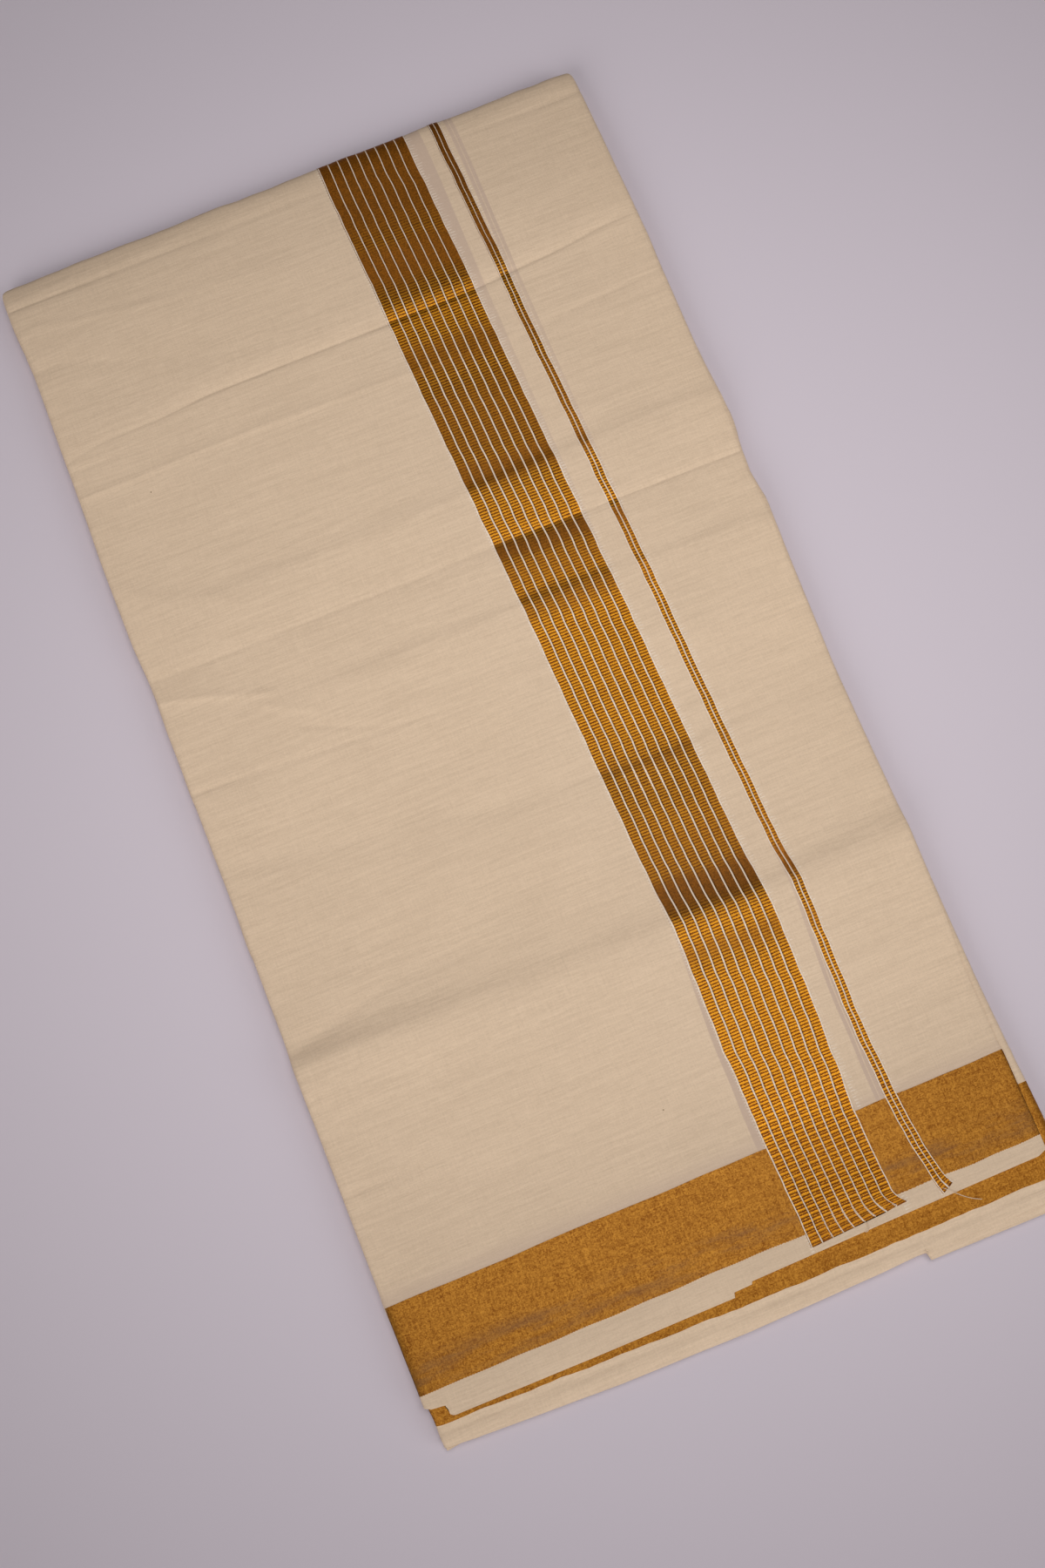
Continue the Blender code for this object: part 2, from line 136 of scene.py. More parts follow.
# y grows towards the far fold. Each row says:
# name, shape, lift, near width, far width, route of x, y and strength
CREASES = (
    ("far roll", SOFT, -1.90, 9.0, 30.0, (
        (-159, 305, 1), (-120, 305, 0.9), (-60, 306, 0.6), (0, 308, 0.3), (159, 310, 0.3))),
    ("far fold line", SHARP, -0.55, 0.9, 1.0, (
        (-159, 291.8, 1.2), (-120, 292.2, 1), (-50, 293, 0.7), (0, 293.8, 0.4), (60, 294.5, 0.15),
        (100, 295.5, 0.2), (140, 296, 0.9), (159, 296.5, 0.9))),
    ("upper left", SHARP, 0.36, 1.3, 1.7, (
        (-159, 276, 0.8), (-150, 278.6, 1), (-128, 274.8, 1), (-104, 271.5, 0.8), (-83, 268.6, 0.8),
        (-50, 266.5, 0.7), (-30, 265, 0.3), (0, 264, 0))),
    ("lower left", SHARP, -0.62, 6.0, 5.0, (
        (-159, 257, 1), (-136, 254.5, 1), (-121, 249, 0.8), (-104, 243, 0.6), (-85, 237, 0.3),
        (-70, 233, 0))),
    ("main line", SHARP, -0.72, 0.95, 3.2, (
        (-159, 205, 0.2), (-137, 209.3, 0.5), (-108, 210, 0.6), (-80, 213, 1), (-40, 213.7, 1.1),
        (20, 214.3, 1.1), (65, 215.3, 1), (82, 217, 1), (112, 219.4, 0.9), (128, 221.7, 0.8),
        (159, 225, 0.7))),
    ("main bank", SOFT, 0.50, 7.0, 14.0, (
        (-159, 214, 0.5), (-108, 218, 0.7), (-80, 221, 1), (20, 222, 1), (82, 224, 1), (159, 230, 0.8))),
    ("left of main", SHARP, -0.38, 2.0, 1.5, ((-159, 200.3, 1), (-135, 199.9, 0.8), (-115, 199.6, 0))),
    ("ridge left", SHARP, 0.44, 1.0, 2.4, (
        (-159, 184.8, 1), (-131, 185, 1), (-81, 186.8, 1), (-16, 186.4, 0.9), (18, 185.5, 0.5),
        (30, 185, 0.1), (60, 185, 0.1), (68, 185, 0.5), (98, 186.5, 0))),
    ("ridge right", SHARP, -0.32, 1.5, 1.6, (
        (70, 184, 0), (105, 186.5, 1), (123, 188, 1), (143, 189.8, 0.8), (159, 190.5, 0.8))),
    ("far step", SOFT, 0.64, 11.0, 3.8, (
        (-159, 137, 0.8), (-130, 118, 0.8), (-110, 112.5, 1), (-70, 113.5, 1), (-20, 115, 1),
        (60, 117, 1), (113, 119.5, 1), (143, 121, 1), (159, 119, 1))),
    ("right slant", SHARP, -0.18, 2.4, 1.5, ((95, 99, 0), (108, 99.5, 1), (134, 101, 1), (159, 99.5, 1))),
    ("sharp valley", SHARP, -0.80, 8.0, 9.0, (
        (-159, 85, 1), (-129, 84.1, 1), (-88, 85, 1), (-18, 85.2, 1), (26, 86.5, 1), (70, 86.4, 1),
        (159, 86.6, 1))),
    ("valley line", SHARP, -0.24, 0.95, 1.4, (
        (-159, 85, 0.9), (-129, 84.1, 0.5), (-88, 85, 0.5), (-18, 85.2, 0.5), (26, 86.5, 0.6),
        (70, 86.4, 1.1), (113, 86.6, 1.9), (159, 86.6, 1.6))),
    ("wrinkle one", SHARP, 0.72, 1.5, 3.6, (
        (-159, 73.2, 1), (-139, 68.7, 1), (-120, 62.3, 1), (-107, 57.8, 1), (-100, 55, 0))),
    ("wrinkle two", SHARP, 0.55, 1.3, 3.0, (
        (-118, 56.5, 0), (-114, 54.5, 0.8), (-104, 49.5, 0.9), (-90, 42, 0.8), (-84, 38.5, 0))),
    ("wrinkle three", SHARP, -0.50, 1.0, 1.0, (
        (-99, 38.5, 0), (-94, 35.8, 1), (-68, 25, 1), (-56, 20.5, 0.3), (-40, 18, 0))),
    ("wrinkle four", SHARP, -0.36, 1.0, 1.6, (
        (-159, 24.5, 1.9), (-140, 23.8, 1.6), (-122, 23.1, 0.9), (-83, 21, 0.8), (-55, 19.3, 0.8),
        (-40, 18.6, 0.7), (-20, 16.5, 0.3), (0, 14, 0))),
    ("low step", SOFT, 0.52, 12.0, 3.6, (
        (-105, 50, 0), (-80, 51, 0.6), (-20, 52, 1.5), (60, 52, 1), (113, 50.5, 1), (143, 51, 1),
        (159, 49, 1))),
    ("right wrinkle", SHARP, -0.15, 2.0, 2.0, ((115, 66, 0), (143, 67, 1), (159, 66, 1))),
    ("right bow", SOFT, -0.24, 5.0, 4.0, ((98, 38, 0), (107, 23, 1), (118, -5, 1), (121, -34, 0))),
    ("soft fold", SOFT, -0.42, 3.5, 7.0, (
        (-159, -16, 0.6), (-131, -21, 0.9), (-96, -25, 0.6), (-55, -27, 0.7), (-28, -37.5, 1),
        (30, -39, 1), (75, -39, 0.8), (113, -36, 0.6), (143, -40, 0.8), (159, -40, 0.6))),
    ("wide ridge", SOFT, 1.50, 17.0, 8.0, (
        (-159, -118.5, 2.2), (-145, -118.3, 2.4), (-115, -118.8, 2.1), (-85, -119.3, 1.6),
        (-65, -119.5, 1.2), (-12, -122, 0.62), (34, -122, 0.85), (85, -123, 1), (113, -121, 1.3),
        (143, -119, 1.3), (159, -119, 1.3))),
    ("ridge foot", SHARP, -0.30, 5.0, 6.0, (
        (-159, -110.5, 2.4), (-145, -107.5, 3.4), (-120, -100.5, 2.8), (-96, -96.0, 2.2),
        (-75, -94.0, 1.6), (-60, -94.0, 1.0), (0, -98, 0.2), (100, -102, 0.6), (143, -105, 1),
        (159, -106, 1))),
    ("fan left", SHARP, -0.40, 3.0, 2.2, ((-159, -122, 1), (-135, -122.5, 0.8), (-110, -121, 0))),
    ("near left", SHARP, -0.36, 1.8, 2.0, (
        (-159, -180.5, 1.9), (-135, -181.5, 1.2), (-105, -182.5, 0.5), (-85, -183, 0))),
    ("near right", SHARP, -0.20, 2.0, 2.0, ((100, -162, 0), (125, -162, 0.8), (159, -160, 1))),
    ("near right low", SHARP, -0.16, 2.0, 2.0, ((115, -203, 0), (135, -200, 1), (159, -196, 1))),
)
print("creases:", len(CREASES))

# %% [markdown]
# ## The pressed surface
# Between the creases the cloth still swells and ripples a little, because the plies under it do.
# Seeded waves make that. Their sum with all the creases is the one surface that every sheet
# below follows.

# %% The pressed surface
SWELL, RIPPLE = 0.16, 0.030
swell_along = waves(11, 9, 45, 210)
swell_across = waves(12, 7, 60, 260)
swell_slant = waves(13, 9, 28, 120)
ripple = waves(14, 12, 9, 30)


def crease(x, y, row):
    """How much one crease lifts the cloth at x, y."""
    _, shape, lift, near, far, route = row
    away = y - read(route, x)
    reach = np.abs(away) / np.where(away < 0, near, far)
    if shape == SHARP:
        profile = np.exp(0.12 - np.sqrt(reach * reach + 0.0144))
    else:
        profile = np.exp(-reach * reach)
    return lift * profile * read(route, x, 2)


def lift(x, y):
    """The height of the pressed cloth over its flat level: creases, long swells and fine ripples."""
    x, y = np.broadcast_arrays(np.asarray(x, float), np.asarray(y, float))
    height = sum(crease(x, y, row) for row in CREASES)
    height = height + SWELL * (swell_along(y + 0.2 * x) + swell_across(x - 0.3 * y))
    height = height + 0.5 * SWELL * swell_slant(y + 0.55 * x)
    return height + RIPPLE * ripple(y + 0.08 * x) * (1 + 0.5 * swell_across(x))


print("depth of the sharp valley, mm:", round(-float(lift(0.0, 85.0)), 2))

# %% [markdown]
# ## The stack's own shape
# The plies roll down at their side folds, and they press closer together at the open end, where
# nothing holds them up. Every sheet in the bundle uses the same two rules, so they nest.

# %% The stack's own shape
# For each side: y, x
TOP_LEFT = (
    (-312, -157.6), (-285.5, -157.6), (-284, -159.3), (-240, -159.8), (-130, -160.0), (-105, -159.5),
    (0, -159.0), (60, -159.1), (75, -158.4), (90, -159.0), (105, -159.9), (150, -159.9), (180, -159.0),
    (210, -158.6), (240, -158.0), (262, -157.8), (285, -159.2), (311, -159.0),
)
TOP_RIGHT = (
    (-312, 154.2), (-277, 154.7), (-234, 154.7), (-230, 154.0), (-190, 153.9), (-170, 155.4),
    (-150, 156.6), (-120, 157.0), (-60, 155.9), (-30, 155.7), (0, 156.6), (30, 156.3), (60, 156.6),
    (75, 155.7), (90, 156.2), (105, 157.3), (135, 157.2), (195, 157.3), (210, 157.8), (240, 157.1),
    (270, 156.5), (300, 155.6),
)
STACK_RIGHT = (
    (-312, 160.0), (-268, 160.0), (-251, 159.4), (-240, 158.8), (-200, 157.6), (-165, 157.3),
    (-120, 157.2), (-60, 156.0), (-30, 155.8), (0, 156.8), (30, 157.6), (60, 158.7), (75, 156.9),
    (90, 157.9), (105, 159.5), (120, 159.0), (135, 158.0), (150, 157.5), (195, 157.6), (210, 158.0),
    (240, 157.3), (270, 156.7), (300, 155.6),
)
STACK_LEFT = (
    (-312, -157.0), (-290, -157.2), (-268, -159.2), (-240, -159.7), (-130, -159.9), (-105, -159.4),
    (0, -158.9), (60, -159.0), (75, -158.4), (90, -159.0), (105, -159.8), (150, -159.7), (180, -158.9),
    (210, -158.5), (240, -158.0), (262, -157.9), (285, -159.0), (311, -158.8),
)
SIDE_REACH = 42.0
# distance in from the side, drop
SIDE_ROLL = (
    (0.0, 2.0), (0.3, 1.45), (0.9, 0.85), (1.8, 0.5), (3.2, 0.26), (5.5, 0.1), (9.0, 0.0),
)
NEAR_PRESS_START, NEAR_PRESS_LENGTH = -282.0, 30.0
NEAR_PRESS = 0.34
# A lower ply that sticks out this far takes away this share of the top ply's drop.
HELD_UP_REACH, HELD_UP = 1.5, 0.78


def placed(x, y, left=TOP_LEFT, right=TOP_RIGHT):
    """Where a point really is across the bundle: near its sides a sheet is stretched to meet them."""
    near_left = fade(1 - (x + HALF_WIDTH) / SIDE_REACH)
    near_right = fade(1 - (HALF_WIDTH - x) / SIDE_REACH)
    return x + near_left * (read(left, y) + HALF_WIDTH) + near_right * (read(right, y) - HALF_WIDTH)


def side_drop(x, y=None):
    """How far the stack has rolled down at x. The top ply stays flat where a lower one sticks out."""
    drop = read(SIDE_ROLL, HALF_WIDTH - np.abs(x))
    if y is None:
        return drop
    sticks_out = np.clip((read(STACK_RIGHT, y) - read(TOP_RIGHT, y)) / HELD_UP_REACH, 0, 1)
    return drop * (1 - HELD_UP * sticks_out * (x > 0))


def near_press(y):
    """What is left of the stack's height towards the open end."""
    return 1 - NEAR_PRESS * fade((NEAR_PRESS_START - y) / NEAR_PRESS_LENGTH)


def stack_height(x, y, level=0.0, drop=None):
    """The height of a sheet in the stack, level millimetres above the top sheet's outer face."""
    drop = side_drop(x, y) if drop is None else drop
    return (PANEL_TOP + level) * near_press(y) * (1 + lift(x, y) / PANEL_TOP) - drop


def on_stack(x, y, above=0.0):
    """A row of points on the top sheet's outer face, or above it."""
    return np.stack([placed(x, y), y, stack_height(x, y) + above], axis=-1)


print("drop at the side folds, mm:", float(side_drop(HALF_WIDTH)))

# %% [markdown]
# ## Thin sheets with two faces
# Real cloth has a thickness, here 0.3 mm, and a cut edge catches light on it. Each sheet is a
# grid of points, with a second grid moved in along the surface's own normals and the two joined
# round the rim. This does what a Solidify modifier does, but the grid's rows and columns stay
# known, so that UV maps can be laid out from them afterwards.

# %% Thin sheets with two faces
def grid_normals(points):
    """The way each point of a grid faces: up, for rows along +Y and columns along +X."""
    side = np.gradient(points, axis=1)
    ahead = np.gradient(points, axis=0)
    normal = np.cross(side, ahead)
    return normal / np.maximum(np.linalg.norm(normal, axis=2, keepdims=True), 1e-9)


def grid_faces(rows, columns, start=0):
    """The four-cornered faces of a grid, counter-clockwise seen from the side it faces."""
    corner = (np.arange(rows - 1)[:, None] * columns + np.arange(columns - 1)).ravel() + start
    return np.stack([corner, corner + 1, corner + columns + 1, corner + columns], axis=1)


def rim_of(rows, columns):
    """The outer points of a grid in order, counter-clockwise seen from the side it faces."""
    near = np.arange(columns)
    right = np.arange(1, rows) * columns + columns - 1
    far = (rows - 1) * columns + np.arange(columns - 2, -1, -1)
    left = np.arange(rows - 2, 0, -1) * columns
    return np.concatenate([near, right, far, left])


def new_piece(name, points, faces, material, body="root"):
    """One named mesh piece that rides on a body. Points are in millimetres."""
    mesh = bpy.data.meshes.new(name)
    mesh.from_pydata((np.asarray(points, float) * MM).tolist(), [], [tuple(face) for face in faces])
    mesh.materials.append(material)
    mesh.shade_smooth()
    mesh.set_sharp_from_angle(angle=math.radians(50))
    mesh.update()
    piece = bpy.data.objects.new(name, mesh)
    bpy.context.scene.collection.objects.link(piece)
    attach(piece, body)
    return piece


def sheet_parts(outer, thickness=PLY):
    """Points and faces of a closed thin sheet under an outer grid."""
    rows, columns = outer.shape[:2]
    inner = outer - grid_normals(outer) * thickness
    count = rows * columns
    front = grid_faces(rows, columns)
    back = grid_faces(rows, columns, count)[:, ::-1]
    rim = rim_of(rows, columns)
    following = np.roll(rim, -1)
    edge = np.stack([following, rim, rim + count, following + count], axis=1)
    points = np.concatenate([outer.reshape(-1, 3), inner.reshape(-1, 3)])
    return points, np.concatenate([front, back, edge])


print("a ply is", PLY, "mm thick")

# %% [markdown]
# ## UV maps from the grid
# Two kinds of map are laid on each sheet. One is in millimetres from the border's edge, and the
# materials read it to place stripes and threads. The other spreads the sheet over the unit
# square in lanes side by side, so that a long strip fills a square picture when it is baked.

# %% UV maps from the grid
def corner_points(mesh):
    """The point at each face corner."""
    found = np.empty(len(mesh.loops), np.int32)
    mesh.loops.foreach_get("vertex_index", found)
    return found


def add_map(piece, name, places):
    """A UV map with one place for each point."""
    layer = piece.data.uv_layers.new(name=name)
    layer.data.foreach_set("uv", np.asarray(places, np.float32)[corner_points(piece.data)].ravel())


def add_number(piece, name, values):
    """A number for each point that the materials can read by name."""
    made = piece.data.attributes.new(name, "FLOAT", "POINT")
    made.data.foreach_set("value", np.asarray(values, np.float32).ravel())


def add_lanes(piece, rows, columns, lanes, front_share=0.94):
    """Spreads a sheet's front in lanes over the unit square, and the rest in what is left of it."""
    layer = piece.data.uv_layers.new(name="OFBake")
    count = len(piece.data.polygons)
    front = (rows - 1) * (columns - 1)
    row, column = np.divmod(np.arange(front), columns - 1)
    lane = row * lanes // (rows - 1)
    row_corner = row[:, None] + np.array([0, 0, 1, 1])
    column_corner = column[:, None] + np.array([0, 1, 1, 0])
    up = (row_corner * lanes / (rows - 1) - lane[:, None]) * 0.97 + 0.01
    side = (lane[:, None] + 0.02 + 0.96 * column_corner / (columns - 1)) / lanes * front_share
    rest = np.arange(count - front)
    left_over = len(rest)
    room = 1 - front_share
    wide = max(1, int(math.sqrt(left_over * room)))
    tall = -(-left_over // wide)
    start = np.stack([front_share + room * (rest % wide) / wide, (rest // wide) / tall], axis=1)
    size = np.array([room / wide, 1 / tall]) * 0.8
    places = [np.stack([side, up], axis=2).reshape(-1, 2)]
    starts = np.empty(count, np.int32)
    totals = np.empty(count, np.int32)
    piece.data.polygons.foreach_get("loop_start", starts)
    piece.data.polygons.foreach_get("loop_total", totals)
    for cell_start, corners in zip(start, totals[front:]):
        turn = 2 * math.pi * (np.arange(corners) + 0.5) / corners
        places.append(cell_start + size * (0.5 + 0.5 * np.stack([np.cos(turn), np.sin(turn)], axis=1)))
    layer.data.foreach_set("uv", np.concatenate(places).astype(np.float32).ravel())


# %% [markdown]
# ## Shader tools
# A material is a tree of nodes. These short helpers add a node, wire its inputs and hand back
# its output, so that each material below reads like a sum and not like a list of links.

# %% Shader tools
def node(tree, kind, inputs=None, **settings):
    """Adds a node. inputs holds a value or another node's output for each socket."""
    made = tree.nodes.new(kind)
    for name, value in settings.items():
        setattr(made, name, value)
    for key, value in (inputs or {}).items():
        if isinstance(value, bpy.types.NodeSocket):
            tree.links.new(value, made.inputs[key])
        else:
            made.inputs[key].default_value = value
    return made


def maths(tree, operation, *values):
    return node(tree, "ShaderNodeMath", dict(enumerate(values)), operation=operation).outputs[0]


def blend_colours(tree, share, first, second):
    """Mixes two colours. Socket 0 is the share, 6 and 7 are the colours and 2 is the result."""
    made = node(tree, "ShaderNodeMix", data_type="RGBA")
    for key, value in ((0, share), (6, first), (7, second)):
        if isinstance(value, bpy.types.NodeSocket):
            tree.links.new(value, made.inputs[key])
        elif key == 0:
            made.inputs[key].default_value = value
        else:
            made.inputs[key].default_value = (*value, 1.0)
    return made.outputs[2]


def rescale(tree, value, low, high, new_low, new_high):
    """Moves a value from one range to another and stops it at the ends."""
    places = {"Value": value, "From Min": low, "From Max": high, "To Min": new_low, "To Max": new_high}
    return node(tree, "ShaderNodeMapRange", places, interpolation_type="SMOOTHSTEP").outputs[0]


def scaled(tree, vector, factor):
    """A vector or a colour times a number."""
    return node(tree, "ShaderNodeVectorMath", {0: vector, "Scale": factor}, operation="SCALE").outputs[0]


def stretch(tree, vector, x, y, z=1.0):
    return node(tree, "ShaderNodeVectorMath", {0: vector, 1: (x, y, z)}, operation="MULTIPLY").outputs[0]


def noise(tree, vector, scale=1.0, detail=2.0, roughness=0.5):
    places = {"Vector": vector, "Scale": scale, "Detail": detail, "Roughness": roughness}
    return node(tree, "ShaderNodeTexNoise", places).outputs["Fac"]


def number_on_mesh(tree, name):
    return node(tree, "ShaderNodeAttribute", attribute_name=name).outputs["Fac"]


def map_on_mesh(tree, name):
    """A UV map as one vector, and its separate numbers."""
    vector = node(tree, "ShaderNodeUVMap", uv_map=name).outputs[0]
    return vector, node(tree, "ShaderNodeSeparateXYZ", {0: vector}).outputs


# %% [markdown]
# ## Groups and materials
# An effect that several materials share is a node group, built once with its own named sockets.
# Nodes placed in a material hand their colour and normal to that material's own shader.

# %% Groups and materials
def new_group(name, inputs, outputs):
    """An empty node group with named sockets, and its first and last node."""
    tree = bpy.data.node_groups.new(name, "ShaderNodeTree")
    for title, kind, value in inputs:
        socket = tree.interface.new_socket(title, in_out="INPUT", socket_type="NodeSocket" + kind)
        if value is not None:
            socket.default_value = value
    for title, kind in outputs:
        tree.interface.new_socket(title, in_out="OUTPUT", socket_type="NodeSocket" + kind)
    return tree, tree.nodes.new("NodeGroupInput").outputs, tree.nodes.new("NodeGroupOutput").inputs


def place_group(tree, group, inputs):
    """Puts a group in a tree and hands back its outputs."""
    return node(tree, "ShaderNodeGroup", inputs, node_tree=group).outputs


def new_material(name, roughness, metallic):
    """A material with an empty tree but for its shader, and the shader's inputs."""
    made = bpy.data.materials.new(name)
    made.use_nodes = True
    shader = made.node_tree.nodes["Principled BSDF"].inputs
    shader["Roughness"].default_value = roughness
    shader["Metallic"].default_value = metallic
    return made, made.node_tree, shader


# %% [markdown]
# ## Effect: plain weave
# Handloom cotton isn't even. Some weft threads are thicker than their neighbours for a few
# centimetres, which shows as faint streaks across the cloth. The group stretches noise along the
# weft for these, adds fainter short warp marks, and puts out one shade and one height.

# %% Effect: plain weave
weave, given, gives = new_group(
    "plain weave",
    [("Place", "Vector", None), ("Streaks", "Float", 1.0)],
    [("Shade", "Float"), ("Height", "Float")],
)
millimetres = stretch(weave, given["Place"], 1000, 1000, 1000)
slubs = noise(weave, stretch(weave, millimetres, 0.035, 0.75, 0.2), detail=3)
threads = noise(weave, stretch(weave, millimetres, 0.16, 2.1, 0.5), detail=2)
warps = noise(weave, stretch(weave, millimetres, 1.5, 0.10, 0.5), detail=2)
crosses = noise(weave, stretch(weave, millimetres, 0.9, 1.3, 0.5), detail=1)
total = maths(weave, "MULTIPLY_ADD", slubs, 0.50, maths(weave, "MULTIPLY", threads, 0.46))
total = maths(weave, "MULTIPLY_ADD", warps, 0.30, total)
total = maths(weave, "MULTIPLY_ADD", crosses, 0.34, total)
centred = maths(weave, "SUBTRACT", total, 0.8)
shade = maths(weave, "MULTIPLY", centred, given["Streaks"])
weave.links.new(shade, gives["Shade"])
weave.links.new(centred, gives["Height"])
print("group:", weave.name)

# %% [markdown]
# ## Effect: soft mottling
# Large, faint patches come from handling and from the plies below, which show a little through
# thin cotton. It is one soft noise, whose size is given in metres.

# %% Effect: soft mottling
mottle, given, gives = new_group(
    "soft mottling", [("Place", "Vector", None), ("Size", "Float", 0.04)], [("Shade", "Float")]
)
by_size = scaled(mottle, given["Place"], maths(mottle, "DIVIDE", 1.0, given["Size"]))
big = noise(mottle, by_size, detail=3, roughness=0.6)
mottle.links.new(maths(mottle, "SUBTRACT", big, 0.5), gives["Shade"])
print("group:", mottle.name)

# %% [markdown]
# ## Effect: zari grain
# Zari is a flat metal ribbon wound on a core, so it glints in tiny facets. Cells about half a
# millimetre wide, each with its own value, give that glitter, and noise breaks the cells up.

# %% Effect: zari grain
grain, given, gives = new_group(
    "zari grain",
    [("Place", "Vector", None), ("Facet", "Float", 0.0005)],
    [("Glint", "Float"), ("Height", "Float")],
)
per_facet = scaled(grain, given["Place"], maths(grain, "DIVIDE", 1.0, given["Facet"]))
cells = node(grain, "ShaderNodeTexVoronoi", {"Vector": per_facet, "Scale": 1.0})
facet = node(grain, "ShaderNodeSeparateColor", {0: cells.outputs["Color"]}).outputs[0]
fine = noise(grain, per_facet, scale=0.9, detail=2)
glint = maths(grain, "MULTIPLY_ADD", facet, 0.55, maths(grain, "MULTIPLY", fine, 0.45))
grain.links.new(maths(grain, "SUBTRACT", glint, 0.5), gives["Glint"])
grain.links.new(fine, gives["Height"])
print("group:", grain.name)

# %% [markdown]
# ## Effect: ribs and cords
# The border is woven in nine gold stripes with a white cord between each two. The map's first
# number counts stripes, so its fraction says where in a stripe a point is, and its last part is
# the cord. The second number is in millimetres along the border, for the ribs. Near the open end
# the ribs draw together in twos, so there every second gap is deeper.

# %% Effect: ribs and cords
RIB_PITCH = 1.53
PAIRS_START, PAIRS_FULL = -175.0, -235.0
ribs, given, gives = new_group(
    "ribs and cords",
    [("Map", "Vector", None), ("Cord share", "Float", 0.17), ("Rib pitch", "Float", RIB_PITCH),
     ("Stripe width", "Float", 4.4)],
    [("Cord", "Float"), ("Rib", "Float"), ("Twist", "Float")],
)
parts = node(ribs, "ShaderNodeSeparateXYZ", {0: given["Map"]}).outputs
in_stripe = maths(ribs, "FRACT", maths(ribs, "ADD", parts[0], 10.0))
from_middle = maths(ribs, "ABSOLUTE", maths(ribs, "ADD", parts[1], 20.0))
cord_width = maths(ribs, "MULTIPLY", given["Cord share"], rescale(ribs, from_middle, 180.0, 270.0, 1.0, 0.72))
cord_start = maths(ribs, "SUBTRACT", 1.0, cord_width)
soft_edge = 0.012
after_start = rescale(ribs, maths(ribs, "SUBTRACT", in_stripe, cord_start), -soft_edge, soft_edge, 0, 1)
before_end = rescale(ribs, in_stripe, 0.0, soft_edge, 1, 0)
cord = maths(ribs, "MAXIMUM", after_start, before_end)
ribs.links.new(cord, gives["Cord"])
wobble_place = stretch(ribs, given["Map"], 1.9, 0.7)
wobble = maths(ribs, "SUBTRACT", noise(ribs, wobble_place, detail=1), 0.5)
turns = maths(ribs, "DIVIDE", parts[1], given["Rib pitch"])
turns = maths(ribs, "MULTIPLY_ADD", wobble, 0.30, turns)
wave = maths(ribs, "COSINE", maths(ribs, "MULTIPLY", turns, 2 * math.pi))
pairs = maths(ribs, "COSINE", maths(ribs, "MULTIPLY", turns, math.pi))
paired = rescale(ribs, parts[1], PAIRS_FULL, PAIRS_START, 0.45, 0.0)
wave = maths(ribs, "MULTIPLY_ADD", pairs, paired, maths(ribs, "MULTIPLY", wave, 0.5))
ribs.links.new(maths(ribs, "ADD", wave, 0.5), gives["Rib"])
TWIST_PITCH = 0.85
sideways = maths(ribs, "MULTIPLY", parts[0], given["Stripe width"])
along_rib = maths(ribs, "MULTIPLY", sideways, 2 * math.pi / TWIST_PITCH)
tooth = maths(ribs, "SINE", maths(ribs, "MULTIPLY_ADD", parts[1], 4.4, along_rib))
ribs.links.new(tooth, gives["Twist"])
print("group:", ribs.name)

# %% [markdown]
# ## Material: cream cotton
# Unbleached cotton is a warm cream, rough, with a faint bloom of fibre ends. The bloom is the
# shader's own sheen. The weave and the mottling move the colour a little either way, and a few
# dark specks are the bits of seed that stay in such yarn.

# %% Material: cream cotton
CREAM, CREAM_DARK = (0.775, 0.587, 0.416), (0.62, 0.463, 0.322)
SEED_SPECK = (0.20, 0.13, 0.07)
COTTON_ROUGH = 0.88
# How deep the weave's relief looks, in metres.
COTTON_RELIEF = 0.0004


def cotton_colour(tree, place, streaks):
    """The cream colour with its streaks, mottling and specks, and the weave's height."""
    woven = place_group(tree, weave, {"Place": place, "Streaks": streaks})
    patches = place_group(tree, mottle, {"Place": place, "Size": 0.045})
    total = maths(tree, "ADD", woven["Shade"], maths(tree, "MULTIPLY", patches["Shade"], 0.20))
    share = rescale(tree, total, -0.36, 0.36, 1.0, 0.0)
    colour = blend_colours(tree, share, CREAM, CREAM_DARK)
    specks = node(tree, "ShaderNodeTexVoronoi", {"Vector": place, "Scale": 42.0}, feature="F1")
    speck = rescale(tree, specks.outputs["Distance"], 0.012, 0.022, 1, 0)
    kept = node(tree, "ShaderNodeSeparateColor", {0: specks.outputs["Color"]}).outputs[0]
    speck = maths(tree, "MULTIPLY", speck, maths(tree, "GREATER_THAN", kept, 0.72))
    colour = blend_colours(tree, maths(tree, "MULTIPLY", speck, 0.75), colour, SEED_SPECK)
    return colour, woven["Height"]


def bump(tree, height, strength, distance):
    """Turns a height into a normal. distance is in metres."""
    places = {"Strength": strength, "Distance": distance, "Height": height}
    return node(tree, "ShaderNodeBump", places).outputs["Normal"]


def cotton_sheen(shader):
    """Soft fibre ends: little plain gloss, and a faint warm bloom at grazing angles."""
    shader["Specular IOR Level"].default_value = 0.25
    shader["Sheen Weight"].default_value = 0.12
    shader["Sheen Roughness"].default_value = 0.5
    shader["Sheen Tint"].default_value = (1.0, 0.93, 0.82, 1.0)


cotton, tree, shader = new_material("cream cotton", COTTON_ROUGH, 0.0)
place = node(tree, "ShaderNodeTexCoord").outputs["Object"]
colour, height = cotton_colour(tree, place, 1.0)
tree.links.new(colour, shader["Base Color"])
tree.links.new(bump(tree, height, 0.35, COTTON_RELIEF), shader["Normal"])
cotton_sheen(shader)
print("material:", cotton.name)

# %% [markdown]
# ## Material: top cotton
# The top ply is the same cotton, but two more things show on it. The border of the ply below
# shows through as a faint grey-pink shadow where it isn't right under this ply's border. And
# beside each gold border the gold weft's ends float over the cotton as fine pale ticks.

